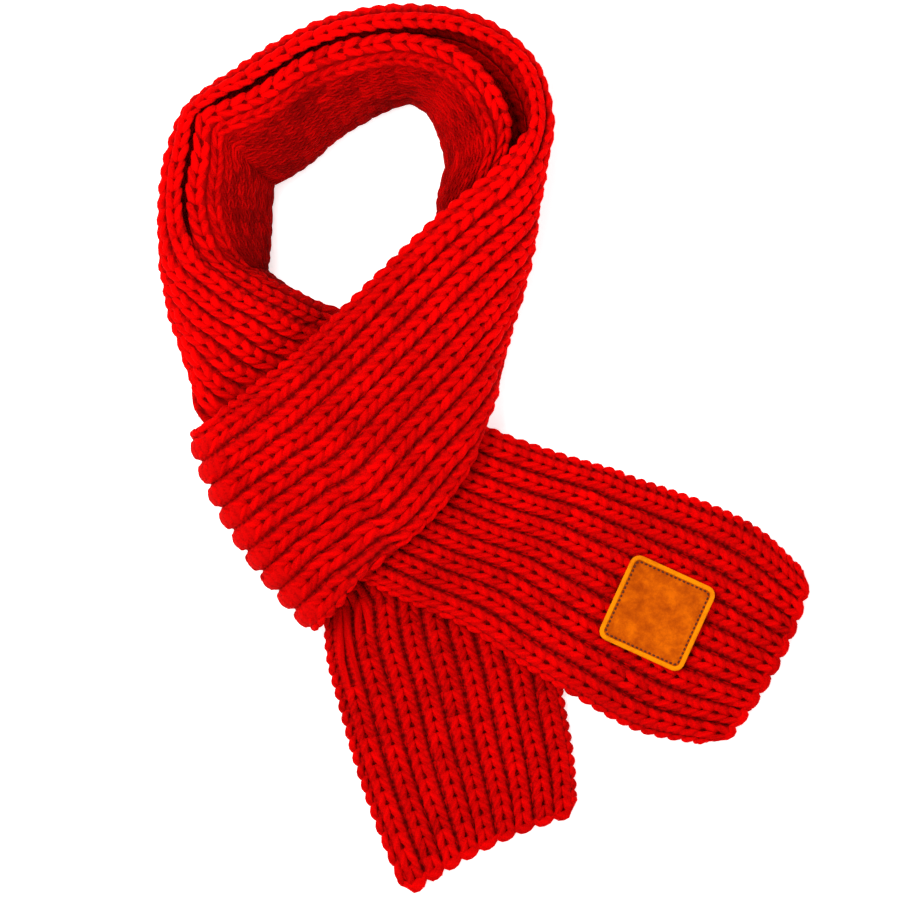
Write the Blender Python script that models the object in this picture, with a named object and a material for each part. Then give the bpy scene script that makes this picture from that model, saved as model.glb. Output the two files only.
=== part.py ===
"""A child's chunky rib-knit scarf, laid out flat as if wound once round a neck.

The scarf is one ribbed strip. It is folded lengthwise into an inner and an outer layer where it goes round the
neck, and that loop stands up from the table as a leaning collar. One end comes out of the loop at the right and
crosses over the front. It turns under at the left and comes out at the bottom as the lower tail. The other end
passes below that wrap and lies out to the right, with a sewn label near its end.

Sections are measured in millimetres on the table top: right of the layout's left side, down from its far side,
and up from the table. The model itself is in metres, with the origin on the table under the middle of the scarf.
"""
import math
from collections import namedtuple

import bmesh
import bpy
import numpy as np

# ---------------------------------------------------------------- driving sizes, in millimetres
RIB_PITCH = 12.0         # one raised rib and the groove beside it
RIBS = 9                 # ribs across the strip
WALL = 4.4               # cloth between the grooves and the plain face
RIB_HEIGHT = 2.6         # how far a rib stands above its grooves
THICK = WALL + RIB_HEIGHT
RIM_GAP = 1.2            # from the gap between the two layers of the loop to the edge of each
SEAM_GAP = 0.3           # between two stretches that are one strip in the cloth
ROW_STEP = 9.0           # spacing of the rows of points along a stretch
COLUMNS_PER_RIB = 4
SCALLOP = 2.6            # how far a rib stands out at a cast-off end
CORNER_RADIUS = 7.0      # rounding of the corners at a cast-off end
LAYOUT_MIDDLE = (240.7, 222.9)   # the table point, right and down, that is the model's origin

LABEL_SIDE = 46.0
LABEL_THICK = 2.2
LABEL_ROUNDNESS = 7.0    # exponent of its rounded square
LABEL_CELLS = 12

YARN_RED = (0.80, 0.004, 0.006, 1.0)
LABEL_TAN = (0.50, 0.16, 0.01, 1.0)

# A place round the neck loop or along the wrap: the strip's upper edge, how far out it reaches, and where its lower
# edge rests, as (right, down), with the height of its upper edge and the number of ribs across it.
Station = namedtuple("Station", "rim outside foot foot_up height ribs")

# The layer of the loop that faces outwards, from below the wrap, round the back, to where it becomes the wrap.
NECK_OUTER = [
    #        rim             outside         foot            foot_up height ribs
    Station((174.0, 172.0), (115.0, 219.0), (120.0, 215.0), 7.4, 14.5, 9.0),
    Station((158.0, 161.0), (99.5, 209.5), (102.5, 206.5), 7.4, 17.0, 8.5),
    Station((148.0, 157.0), (95.0, 195.0), (103.0, 191.0), 0.0, 25.0, 8.0),
    Station((136.0, 150.5), (89.0, 175.0), (97.0, 172.0), 0.0, 32.0, 7.5),
    Station((124.0, 145.0), (84.0, 160.0), (94.0, 158.0), 0.0, 38.0, 7.0),
    Station((112.5, 137.5), (81.0, 145.0), (94.0, 146.0), 0.0, 41.0, 6.5),
    Station((101.5, 129.0), (79.0, 132.0), (100.0, 136.0), 0.0, 43.0, 6.0),
    Station((95.0, 116.0), (78.5, 120.0), (110.0, 122.0), 0.0, 44.0, 5.5),
    Station((92.5, 95.5), (79.0, 97.5), (122.0, 103.0), 0.0, 45.0, 5.0),
    Station((95.5, 76.5), (84.0, 74.0), (122.0, 92.0), 0.0, 45.0, 5.0),
    Station((99.5, 57.0), (91.5, 54.5), (124.0, 85.0), 0.0, 45.0, 5.0),
    Station((109.0, 51.0), (99.5, 45.5), (132.0, 80.0), 0.0, 45.0, 5.0),
    Station((125.0, 44.5), (115.5, 34.5), (143.0, 75.0), 0.0, 45.0, 5.0),
    Station((150.0, 29.5), (142.5, 17.5), (163.0, 64.0), 0.0, 45.0, 5.0),
    Station((176.0, 19.5), (171.5, 6.5), (185.5, 52.0), 0.0, 45.0, 5.0),
    Station((205.0, 16.0), (206.0, 2.5), (206.0, 45.0), 0.0, 45.0, 5.0),
    Station((230.5, 18.5), (239.0, 7.5), (220.0, 52.0), 0.0, 45.0, 5.2),
    Station((256.0, 32.5), (267.5, 28.0), (229.0, 66.0), 0.0, 45.0, 5.5),
    Station((264.0, 53.0), (276.5, 54.0), (233.0, 82.0), 0.0, 45.0, 5.8),
    Station((259.5, 68.5), (277.0, 77.0), (235.0, 97.0), 0.0, 45.0, 6.2),
]

# The stretch that crosses over the front, from the loop to the turn at the left.
FRONT_WRAP = [
    Station((250.5, 79.0), (276.5, 96.0), (240.0, 111.0), 0.0, 44.0, 6.8),
    Station((237.0, 91.0), (274.3, 115.0), (247.0, 127.0), 0.0, 42.0, 7.6),
    Station((218.7, 106.2), (268.5, 141.0), (250.0, 150.0), 0.0, 39.5, 8.4),
    Station((193.8, 130.2), (256.0, 170.0), (247.5, 177.0), 0.0, 37.0, 9.0),
    Station((169.2, 154.0), (246.0, 207.0), (240.2, 203.0), 16.2, 34.0, 9.0),
    Station((144.3, 176.5), (230.0, 246.0), (224.6, 241.6), 16.2, 31.5, 9.0),
    Station((121.5, 194.8), (203.0, 274.0), (197.9, 269.2), 16.2, 28.0, 9.0),
]

# The layer of the loop that faces the neck. Its lower edge rests where the opening begins.
NECK_INNER = [
    #        rim             outside         foot            foot_up height ribs
    Station((177.0, 170.5), (187.0, 164.0), (182.0, 168.5), 0.0, 10.0, 1.6),
    Station((160.5, 160.5), (169.0, 154.5), (165.5, 159.5), 0.0, 17.0, 1.9),
    Station((149.0, 156.0), (159.5, 150.0), (155.5, 155.5), 0.0, 24.0, 2.4),
    Station((136.0, 150.5), (150.0, 145.0), (144.5, 150.0), 0.0, 31.0, 2.9),
    Station((124.0, 145.0), (141.5, 140.5), (135.5, 144.5), 0.0, 36.0, 3.4),
    Station((112.5, 137.5), (135.0, 134.0), (128.5, 137.5), 0.0, 40.0, 3.7),
    Station((101.5, 129.0), (135.5, 127.0), (128.5, 130.0), 0.0, 43.0, 4.1),
    Station((95.0, 116.0), (137.0, 116.0), (130.0, 117.0), 0.0, 44.0, 4.6),
    Station((92.5, 95.5), (137.5, 101.0), (130.5, 104.0), 0.0, 45.0, 4.9),
    Station((95.5, 76.5), (138.0, 94.5), (131.5, 94.5), 0.0, 45.0, 4.9),
    Station((99.0, 56.5), (138.5, 93.0), (133.0, 88.5), 0.0, 45.0, 4.9),
    Station((109.0, 51.0), (142.5, 91.0), (138.5, 84.5), 0.0, 45.0, 4.9),
    Station((125.0, 45.5), (152.0, 85.5), (148.5, 79.0), 0.0, 45.0, 4.9),
    Station((150.0, 29.5), (168.5, 71.5), (166.0, 65.0), 0.0, 45.0, 4.9),
    Station((176.0, 20.0), (188.0, 59.0), (187.0, 52.5), 0.0, 45.0, 4.9),
    Station((205.0, 17.0), (206.0, 53.5), (206.0, 46.5), 0.0, 45.0, 4.9),
    Station((231.0, 25.0), (216.0, 60.5), (219.0, 54.0), 0.0, 45.0, 4.9),
    Station((248.0, 40.0), (221.5, 75.0), (227.0, 68.0), 0.0, 44.0, 4.9),
    Station((255.5, 58.5), (223.0, 88.0), (229.5, 83.0), 0.0, 42.0, 4.6),
    Station((252.5, 74.5), (219.5, 99.0), (226.0, 95.0), 0.0, 36.0, 4.0),
    Station((246.0, 91.0), (218.5, 111.0), (225.0, 107.0), 0.0, 29.0, 3.2),
    Station((243.0, 106.0), (221.0, 123.0), (227.0, 119.0), 0.0, 27.0, 3.0),
]

# One section across a tail: its upper edge, the control point of its bow, and its lower edge.
Section = namedtuple("Section", "edge bow foot")

# The tail that lies out to the right, from below the wrap to its cast-off end.
RIGHT_TAIL = [
    #        right  down   up      right  down   up      right  down   up
    Section((175.2, 173.6, 7.4), (149.0, 195.5, 7.8), (122.2, 216.0, 7.4)),
    Section((200.0, 184.0, 7.4), (172.0, 216.0, 7.4), (140.0, 246.0, 7.4)),
    Section((236.0, 208.0, 7.4), (203.0, 243.0, 7.4), (166.0, 279.0, 7.4)),
    Section((278.0, 225.3, 4.0), (242.0, 262.0, 10.0), (199.0, 298.0, 7.4)),
    Section((310.0, 235.5, 0.0), (273.0, 275.0, 11.0), (235.0, 314.0, 7.4)),
    Section((333.0, 244.0, 0.0), (298.0, 288.5, 9.5), (262.0, 332.5, 7.4)),
    Section((355.0, 252.3, 0.0), (321.5, 299.0, 0.0), (287.0, 348.2, 7.4)),
    Section((379.0, 265.0, 0.0), (352.0, 315.0, 0.0), (318.0, 363.5, 0.0)),
    Section((401.0, 284.5, 0.0), (397.0, 330.0, 0.0), (359.5, 371.5, 0.0)),
]

# The tail that lies down the table, from below the right tail to its cast-off end.
LOWER_TAIL = [
    Section((165.5, 306.0, 0.0), (215.5, 293.0, 0.0), (265.5, 280.0, 0.0)),
    Section((163.3, 326.0, 0.0), (217.0, 313.0, 0.0), (270.5, 300.0, 0.0)),
    Section((169.4, 355.0, 0.0), (224.0, 342.0, 0.0), (278.0, 329.0, 0.0)),
    Section((178.0, 386.0, 0.0), (231.0, 371.0, 0.0), (282.5, 356.0, 0.0)),
    Section((188.3, 416.0, 0.0), (238.0, 397.0, 0.0), (286.5, 381.0, 0.0)),
    Section((203.0, 443.3, 0.0), (246.5, 417.0, 0.0), (287.5, 403.5, 0.0)),
]

# The turn at the left of the wrap, where the cloth goes down and under: its line on the table, and its roundness.
TURN_UPPER = (93.5, 218.0)
TURN_BOW = (104.0, 269.0)
TURN_LOWER = (154.5, 316.5)
TURN_AHEAD = (-0.75, 0.66)           # the way the ribs run into the turn
TURN_ROWS = 7

# The hidden stretch from that turn to the lower tail fans out round the turn's lower end.
FAN_START = (163.5, 305.0)
FAN_TURNS = (-122.5, -16.0)          # degrees from the right, at its start and its end
FAN_REACH = (94.0, 98.0, 103.0)      # how far it reaches, at its start, its middle and its end
FAN_BOW = 8.0                        # how far its first row bows out into the turn
FAN_ROWS = 10

LABEL_MIDDLE = (328.5, 306.5)        # the middle of the label, right and down
LABEL_TURN = 24.5                    # degrees that its top edge goes down to the right
LABEL_SPREAD = 6.0                   # the cloth within about this far of a point sets its level
LABEL_GAP = 0.5                      # between the cloth's crests and the label


def to_metres(point):
    """A table point (right, down, up) in millimetres as a model point in metres."""
    right, down, up = point
    return (
        (right - LAYOUT_MIDDLE[0]) / 1000,
        (LAYOUT_MIDDLE[1] - down) / 1000,
        up / 1000,
    )


def smooth_path(points, step):
    """A cubic through the points, each kept, with points about a step apart between them."""
    points = np.array(points, float)
    spans = np.linalg.norm(np.diff(points, axis=0), axis=1)
    slope = np.diff(points, axis=0) / spans[:, None]
    tangent = np.vstack([slope[:1], slope[1:], slope[-1:]])
    for i in range(1, len(points) - 1):
        weight = spans[i - 1] / (spans[i - 1] + spans[i])
        tangent[i] = slope[i - 1] * (1 - weight) + slope[i] * weight
    path = [points[0]]
    for i, span in enumerate(spans):
        steps = max(1, int(round(span / step)))
        for t in np.arange(1, steps + 1) / steps:
            path.append(
                (2 * t**3 - 3 * t**2 + 1) * points[i]
                + (t**3 - 2 * t**2 + t) * span * tangent[i]
                + (3 * t**2 - 2 * t**3) * points[i + 1]
                + (t**3 - t**2) * span * tangent[i + 1]
            )
    return np.array(path)


def arched_section(station):
    """The edge, bow and foot of a layer that arches from its rim as far as its outside and back to its foot."""
    rim = np.array(station.rim)
    out = np.array(station.outside) - rim
    reach = np.linalg.norm(out)
    out = out / reach
    reach = max(reach - THICK, 0.5)
    foot = np.array(station.foot)
    foot_out = min(float((foot - rim) @ out), reach)
    bow_out = reach + math.sqrt(reach * (reach - foot_out))
    aside = (foot - rim - foot_out * out) * 0.4
    level = station.height - THICK
    edge = rim + out * RIM_GAP
    bow = rim + out * bow_out + aside
    return (
        (edge[0], edge[1], level),
        (bow[0], bow[1], level + 1.0),
        (foot[0], foot[1], station.foot_up),
    )


def cloth_rows(sections, ribs, across=49):
    """The plain face of a stretch as rows of points from its edge to its foot, and the ribs in each row."""
    flat = [[*np.ravel(section), count] for section, count in zip(sections, ribs)]
    path = smooth_path(flat, ROW_STEP * math.sqrt(3))
    controls = path[:, :9].reshape(len(path), 3, 3)
    t = np.linspace(0, 1, across)[None, :, None]
    edge, bow, foot = (controls[:, i][:, None, :] for i in range(3))
    return (1 - t) ** 2 * edge + 2 * t * (1 - t) * bow + t**2 * foot, path[:, 9]


def normals_of(rows, side):
    """Unit normals of rows of points, turned to the ribbed face by side."""
    along = np.gradient(rows, axis=0)
    across = np.gradient(rows, axis=1)
    normal = np.cross(along, across) * side
    return normal / np.maximum(np.linalg.norm(normal, axis=2, keepdims=True), 1e-9)


def reaches(rows):
    """The distance of each point from its row's edge."""
    step = np.linalg.norm(np.diff(rows, axis=1), axis=2)
    return np.concatenate([np.zeros((len(rows), 1)), np.cumsum(step, axis=1)], axis=1)


def at_ribs(rows, values, ribs, places):
    """The values in each row at places counted in ribs from its edge, with those past its foot taken to its foot."""
    reach = reaches(rows)
    placed = np.empty((len(rows), len(places), 3))
    for i, count in enumerate(ribs):
        distance = np.minimum(places, count) * reach[i, -1] / count
        for axis in range(3):
            placed[i, :, axis] = np.interp(distance, reach[i], values[i, :, axis])
    return placed


def strip_faces(rows, ribs, side):
    """The ribbed and the plain face of a stretch, as rows of points. The ribs stop at the table."""
    rows[..., 2] = np.maximum(rows[..., 2], 0.0)
    normals = normals_of(rows, side)
    fine = np.arange(math.ceil(max(ribs)) * COLUMNS_PER_RIB + 1) / COLUMNS_PER_RIB
    coarse = np.arange(math.ceil(max(ribs)) + 1)
    base = at_ribs(rows, rows, ribs, fine)
    outward = at_ribs(rows, normals, ribs, fine)
    outward /= np.linalg.norm(outward, axis=2, keepdims=True)
    used = np.minimum(fine[None, :], np.array(ribs)[:, None])
    rise = WALL + RIB_HEIGHT * np.sqrt(np.abs(np.sin(np.pi * used)))
    downward = -outward[..., 2]
    to_table = base[..., 2] / np.maximum(downward, 1e-6)
    rise = np.where(downward > 1e-6, np.minimum(rise, to_table), rise)
    return base + outward * rise[..., None], at_ribs(rows, rows, ribs, coarse)


def cast_off(face, columns_per_rib):
    """Shapes the last row of a face into the end of the knitting: a scallop to each rib, and rounded corners."""
    last = face[-1]
    ahead = last - face[-2]
    ahead[:, 2] = 0
    ahead /= np.linalg.norm(ahead, axis=1, keepdims=True)
    places = np.arange(len(last)) / columns_per_rib
    scallop = SCALLOP * np.sqrt(np.abs(np.sin(np.pi * places)))
    from_side = np.minimum(places, places[::-1]) * RIB_PITCH
    inside = np.clip(CORNER_RADIUS - from_side, 0, CORNER_RADIUS)
    corner = CORNER_RADIUS - np.sqrt(CORNER_RADIUS**2 - inside**2 + 1e-9)
    face[-1] = last + ahead * (scallop - corner)[:, None]


def closed_wall(name, ribbed, plain, material):
    """An object from a ribbed and a plain face, which have the same rows, closed all round."""
    mesh = bmesh.new()
    front, back = ([[mesh.verts.new(to_metres(p)) for p in row] for row in face] for face in (ribbed, plain))
    for face, flip in ((front, False), (back, True)):
        for low, high in zip(face, face[1:]):
            for a, b, c, d in zip(low, low[1:], high[1:], high):
                mesh.faces.new((a, d, c, b) if flip else (a, b, c, d))
    for f0, f1, b0, b1 in zip(front, front[1:], back, back[1:]):
        mesh.faces.new((f1[0], b1[0], b0[0], f0[0]))
        mesh.faces.new((f0[-1], b0[-1], b1[-1], f1[-1]))
    mesh.faces.new([*back[0], *reversed(front[0])])
    mesh.faces.new([*reversed(back[-1]), *front[-1]])
    bmesh.ops.remove_doubles(mesh, verts=mesh.verts, dist=1e-6)
    bmesh.ops.triangulate(mesh, faces=[face for face in mesh.faces if len(face.verts) > 4])
    bmesh.ops.recalc_face_normals(mesh, faces=mesh.faces)
    return new_object(name, mesh, material)


def new_object(name, mesh, material):
    data = bpy.data.meshes.new(name)
    mesh.to_mesh(data)
    mesh.free()
    data.materials.append(material)
    made = bpy.data.objects.new(name, data)
    bpy.data.collections["knit_scarf"].objects.link(made)
    data.shade_smooth()
    data.set_sharp_from_angle(angle=math.radians(50))
    return made


def neck_inner(material):
    rows, ribs = cloth_rows([arched_section(s) for s in NECK_INNER], [s.ribs for s in NECK_INNER])
    return closed_wall("neck_inner", *strip_faces(rows, ribs, 1), material)


def turn_sections():
    """Sections round the turn at the left of the wrap, from its upper level down to the table."""
    line = np.array((TURN_UPPER, TURN_BOW, TURN_LOWER))
    along = np.array((line[1] - line[0], line[2] - line[0], line[2] - line[1]))
    along /= np.linalg.norm(along, axis=1, keepdims=True)
    out = np.column_stack((-along[:, 1], along[:, 0]))
    ahead = np.array(TURN_AHEAD) / np.linalg.norm(TURN_AHEAD)
    ahead = ahead / (out @ ahead)[:, None]
    top, bottom = FRONT_WRAP[-1].foot_up, THICK
    middle, radius = (top + bottom) / 2, (top - bottom) / 2
    sections = []
    for i in range(TURN_ROWS + 1):
        angle = math.pi * i / TURN_ROWS
        points = line + ahead * (radius * math.sin(angle) - radius - THICK)
        up = middle + radius * math.cos(angle)
        sections.append([(*point, up) for point in points])
    return sections


def neck_outer_and_front_wrap(material):
    """The loop's outer layer and the stretch across the front are one run of cloth, cut apart where they join."""
    turn = turn_sections()
    loop = NECK_OUTER + FRONT_WRAP
    sections = [arched_section(s) for s in loop] + turn
    rows, ribs = cloth_rows(sections, [s.ribs for s in loop] + [RIBS] * len(turn))
    ribbed, plain = strip_faces(rows, ribs, -1)
    join = int(np.argmin(np.linalg.norm(rows[:, 0] - sections[len(NECK_OUTER) - 1][0], axis=1)))
    outer = closed_wall("neck_outer", ribbed[: join + 1], plain[: join + 1], material)
    for face in (ribbed, plain):
        face[join] += (face[join + 1] - face[join]) * SEAM_GAP / ROW_STEP
    return outer, closed_wall("front_wrap", ribbed[join:], plain[join:], material)


def right_tail(material):
    rows, ribs = cloth_rows(RIGHT_TAIL, [RIBS] * len(RIGHT_TAIL))
    ribbed, plain = strip_faces(rows, ribs, 1)
    cast_off(ribbed, COLUMNS_PER_RIB)
    cast_off(plain, 1)
    return closed_wall("right_tail", ribbed, plain, material), rows


def fan_sections():
    """Flat sections that turn about the lower end of the wrap's turn, up to the first one of the lower tail."""
    sections = []
    first, last = np.array(FAN_START), np.array(LOWER_TAIL[0].edge[:2])
    for i in range(FAN_ROWS):
        t = i / FAN_ROWS
        angle = math.radians(FAN_TURNS[0] + t * (FAN_TURNS[1] - FAN_TURNS[0]))
        ahead = np.array((math.cos(angle), math.sin(angle)))
        behind = np.array((math.sin(angle), -math.cos(angle)))
        start, middle, end = FAN_REACH
        reach = start * (1 - t) ** 2 + 2 * middle * t * (1 - t) + end * t**2
        pivot = first + t * (last - first)
        tip = pivot + reach * ahead
        bow = (pivot + tip) / 2 + behind * FAN_BOW * (1 - t) ** 4
        sections.append(((*pivot, 0.0), (*bow, 0.0), (*tip, 0.0)))
    return sections


def lower_tail(material):
    fan = fan_sections() + LOWER_TAIL[:1]
    hidden, _ = cloth_rows(fan, [RIBS] * len(fan))
    shown, _ = cloth_rows(LOWER_TAIL, [RIBS] * len(LOWER_TAIL))
    rows = np.concatenate([hidden[:-1], shown])
    ribbed, plain = strip_faces(rows, [RIBS] * len(rows), -1)
    cast_off(ribbed, COLUMNS_PER_RIB)
    cast_off(plain, 1)
    return closed_wall("lower_tail", ribbed, plain, material)


def label(material, rows):
    """A thin rounded square that lies on the ribs of the right tail, level with the cloth round each of its points."""
    heights = rows[..., 2].ravel()
    places = rows[..., :2].reshape(-1, 2)
    turn = math.radians(LABEL_TURN)
    across, down = (math.cos(turn), math.sin(turn)), (-math.sin(turn), math.cos(turn))
    cells = np.linspace(-1, 1, LABEL_CELLS + 1)
    top, bottom = [], []
    for a in cells:
        upper, lower = [], []
        for b in cells:
            size = max(abs(a), abs(b))
            length = (abs(a) ** LABEL_ROUNDNESS + abs(b) ** LABEL_ROUNDNESS) ** (1 / LABEL_ROUNDNESS)
            scale = LABEL_SIDE / 2 * (size / length if length else 1)
            right = LABEL_MIDDLE[0] + (a * across[0] + b * down[0]) * scale
            far = LABEL_MIDDLE[1] + (a * across[1] + b * down[1]) * scale
            share = np.exp(-((places - (right, far)) ** 2).sum(axis=1) / (2 * LABEL_SPREAD**2))
            level = float((share * heights).sum() / share.sum()) + THICK + LABEL_GAP
            lower.append((right, far, level))
            upper.append((right, far, level + LABEL_THICK))
        top.append(upper)
        bottom.append(lower)
    return closed_wall("label_patch", np.array(top), np.array(bottom), material)


def plain_material(name, colour, roughness):
    material = bpy.data.materials.new(name)
    material.use_nodes = True
    shader = material.node_tree.nodes["Principled BSDF"]
    shader.inputs["Base Color"].default_value = colour
    shader.inputs["Roughness"].default_value = roughness
    shader.inputs["Metallic"].default_value = 0.0
    return material


def main():
    for old in list(bpy.data.objects):
        bpy.data.objects.remove(old)
    bpy.context.scene.collection.children.link(bpy.data.collections.new("knit_scarf"))
    yarn = plain_material("red_yarn", YARN_RED, 0.9)
    leather = plain_material("tan_leather", LABEL_TAN, 0.7)
    neck_inner(yarn)
    neck_outer_and_front_wrap(yarn)
    _, rows = right_tail(yarn)
    lower_tail(yarn)
    label(leather, rows)


main()
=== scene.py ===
"""A chunky rib-knit scarf for a child, laid out flat: its cloth, its yarn, its label and a plain studio.

The file is laid out as an add-on: each operator makes one stretch of the scarf, the label or the studio, and the
panel in the sidebar lists them. Places on the scarf are measured in millimetres on the table: right of the
layout's left side, down from its far side, and up from the table.
"""

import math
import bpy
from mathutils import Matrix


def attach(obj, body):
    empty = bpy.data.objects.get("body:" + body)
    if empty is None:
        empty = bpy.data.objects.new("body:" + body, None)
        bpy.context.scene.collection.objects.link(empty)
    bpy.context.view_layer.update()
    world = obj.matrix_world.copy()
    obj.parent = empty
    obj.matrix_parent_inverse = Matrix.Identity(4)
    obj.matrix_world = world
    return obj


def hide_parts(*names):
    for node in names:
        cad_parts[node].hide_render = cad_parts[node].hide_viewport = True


bl_info = {
    "name": "Rib-knit scarf",
    "version": (1, 0, 0),
    "blender": (4, 5, 0),
    "location": "View3D > Sidebar > Scarf",
    "description": "Makes a rib-knit scarf laid flat, with its yarn, label and studio",
    "category": "Add Mesh",
}

from collections import namedtuple

import bmesh
import bpy
import numpy as np
from bpy.props import FloatProperty, FloatVectorProperty, PointerProperty
from bpy.types import Operator, Panel, PropertyGroup
from mathutils import Vector

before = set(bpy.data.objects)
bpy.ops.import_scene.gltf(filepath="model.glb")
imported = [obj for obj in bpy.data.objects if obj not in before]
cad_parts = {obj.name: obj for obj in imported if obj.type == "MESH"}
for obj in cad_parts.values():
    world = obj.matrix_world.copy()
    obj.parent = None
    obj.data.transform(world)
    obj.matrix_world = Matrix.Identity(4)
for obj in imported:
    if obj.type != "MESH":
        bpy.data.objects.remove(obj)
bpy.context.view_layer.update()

# ---------------------------------------------------------------- the cloth's route, in millimetres
RIBS = 9                 # ribs across the strip
RIB_PITCH = 12.0         # one raised rib and the groove beside it
THICK = 7.0              # the cloth from the crest of a rib to its back
RIM_GAP = 1.2            # from the gap between the two layers of the loop to the edge of each
LEAST_REACH = 0.5        # the least that a layer of the loop reaches out from its rim
BOW_LEAN = 0.4           # how far its bow follows the foot to the side
BOW_RISE = 1.0           # how far the control point of its bow lies above its rim
LAYOUT_MIDDLE = (240.7, 222.9)   # the table point, right and down, that is the model's origin

# A place round the neck loop or along the wrap: the strip's upper edge, how far out it reaches, and where its lower
# edge rests, as (right, down), with the height of its upper edge and the number of ribs across it.
Station = namedtuple("Station", "rim outside foot foot_up height ribs")

# The layer of the loop that faces outwards, from below the wrap, round the back, to where it becomes the wrap.
NECK_OUTER = [
    #        rim             outside         foot            foot_up height ribs
    Station((174.0, 172.0), (113.5, 221.0), (119.0, 217.0), 7.4, 14.5, 9.0),
    Station((158.0, 161.0), (98.6, 210.5), (102.0, 207.5), 7.4, 17.0, 8.5),
    Station((148.0, 157.0), (95.0, 195.0), (103.0, 191.0), 0.0, 25.0, 8.0),
    Station((136.0, 150.5), (89.0, 175.0), (97.0, 172.0), 0.0, 32.0, 7.5),
    Station((124.0, 145.0), (84.0, 160.0), (94.0, 158.0), 0.0, 38.0, 7.0),
    Station((112.5, 137.5), (81.0, 145.0), (94.0, 146.0), 0.0, 41.0, 6.5),
    Station((101.5, 129.0), (79.0, 132.0), (100.0, 136.0), 0.0, 43.0, 6.0),
    Station((95.0, 116.0), (78.5, 120.0), (110.0, 122.0), 0.0, 44.0, 5.5),
    Station((92.5, 95.5), (79.0, 97.5), (122.0, 103.0), 0.0, 45.0, 5.0),
    Station((95.5, 76.5), (83.6, 73.8), (122.0, 92.0), 0.0, 45.0, 5.0),
    Station((99.5, 57.0), (91.5, 54.5), (124.0, 85.0), 0.0, 45.0, 5.0),
    Station((109.0, 51.0), (100.2, 46.3), (132.0, 80.0), 0.0, 45.0, 5.0),
    Station((125.0, 44.5), (116.1, 35.3), (143.0, 75.0), 0.0, 45.0, 5.0),
    Station((150.0, 29.5), (142.9, 18.3), (163.0, 64.0), 0.0, 45.0, 5.0),
    Station((176.0, 19.5), (171.5, 6.5), (185.5, 52.0), 0.0, 45.0, 5.0),
    Station((205.0, 16.0), (206.0, 2.5), (206.0, 45.0), 0.0, 45.0, 5.0),
    Station((230.5, 18.5), (239.0, 7.5), (220.0, 52.0), 0.0, 45.0, 5.2),
    Station((256.0, 32.5), (267.5, 28.0), (229.0, 66.0), 0.0, 45.0, 5.5),
    Station((264.0, 53.0), (277.6, 54.0), (233.0, 82.0), 0.0, 45.0, 5.8),
    Station((259.5, 68.5), (278.4, 77.4), (235.0, 97.0), 0.0, 45.0, 6.2),
]

# The stretch that crosses over the front, from the loop to the turn at the left.
FRONT_WRAP = [
    Station((250.3, 78.8), (277.6, 96.3), (240.0, 111.0), 0.0, 44.0, 6.8),
    Station((236.4, 90.4), (274.9, 115.2), (247.0, 127.0), 0.0, 42.0, 7.6),
    Station((218.0, 105.5), (268.7, 141.0), (250.0, 150.0), 0.0, 39.5, 8.4),
    Station((193.1, 129.5), (256.3, 170.2), (247.5, 177.0), 0.0, 37.0, 9.0),
    Station((168.6, 153.4), (246.4, 207.4), (240.2, 203.0), 16.2, 34.0, 9.0),
    Station((144.3, 176.5), (230.0, 246.0), (224.6, 241.6), 16.2, 31.5, 9.0),
    Station((121.5, 194.8), (203.0, 274.0), (197.9, 269.2), 16.2, 28.0, 9.0),
]

# The layer of the loop that faces the neck. Its lower edge rests where the opening begins.
NECK_INNER = [
    #        rim             outside         foot            foot_up height ribs
    Station((174.5, 171.5), (187.0, 164.0), (182.0, 168.5), 0.0, 12.0, 1.6),
    Station((158.5, 160.7), (169.0, 154.5), (165.5, 159.5), 0.0, 17.0, 1.9),
    Station((148.2, 156.7), (159.5, 150.0), (155.5, 155.5), 0.0, 24.5, 2.4),
    Station((136.0, 150.5), (150.0, 145.0), (144.5, 150.0), 0.0, 31.0, 2.9),
    Station((124.0, 145.0), (141.5, 140.5), (135.5, 144.5), 0.0, 36.0, 3.4),
    Station((112.5, 137.5), (135.0, 134.0), (128.5, 137.5), 0.0, 40.0, 3.7),
    Station((101.5, 129.0), (135.5, 127.0), (128.5, 130.0), 0.0, 43.0, 4.1),
    Station((95.0, 116.0), (137.0, 116.0), (130.0, 117.0), 0.0, 44.0, 4.6),
    Station((92.5, 95.5), (136.8, 101.0), (130.5, 104.0), 0.0, 45.0, 4.9),
    Station((95.5, 76.5), (137.0, 94.8), (131.5, 94.5), 0.0, 45.0, 4.9),
    Station((99.0, 56.5), (137.6, 93.4), (133.0, 88.5), 0.0, 45.0, 4.9),
    Station((109.0, 51.0), (142.5, 91.0), (138.5, 84.5), 0.0, 45.0, 4.9),
    Station((124.4, 44.3), (152.0, 85.5), (148.5, 79.0), 0.0, 45.0, 4.9),
    Station((149.3, 28.1), (168.5, 71.5), (166.0, 65.0), 0.0, 45.0, 4.9),
    Station((175.6, 18.6), (188.0, 59.0), (187.0, 52.5), 0.0, 45.0, 4.9),
    Station((205.2, 15.4), (206.0, 53.5), (206.0, 46.5), 0.0, 45.0, 4.9),
    Station((231.6, 23.8), (216.0, 60.5), (219.0, 54.0), 0.0, 45.0, 4.9),
    Station((248.0, 40.0), (221.5, 75.0), (227.0, 68.0), 0.0, 44.0, 4.9),
    Station((255.5, 58.5), (223.0, 88.0), (229.5, 83.0), 0.0, 42.0, 4.6),
    Station((252.5, 74.5), (219.5, 99.0), (226.0, 95.0), 0.0, 36.0, 4.0),
    Station((246.0, 91.0), (218.5, 111.0), (225.0, 107.0), 0.0, 29.0, 3.2),
    Station((243.0, 106.0), (221.0, 123.0), (227.0, 119.0), 0.0, 27.0, 3.0),
]

# One section across a tail: its upper edge, the control point of its bow, and its lower edge.
Section = namedtuple("Section", "edge bow foot")

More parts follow.
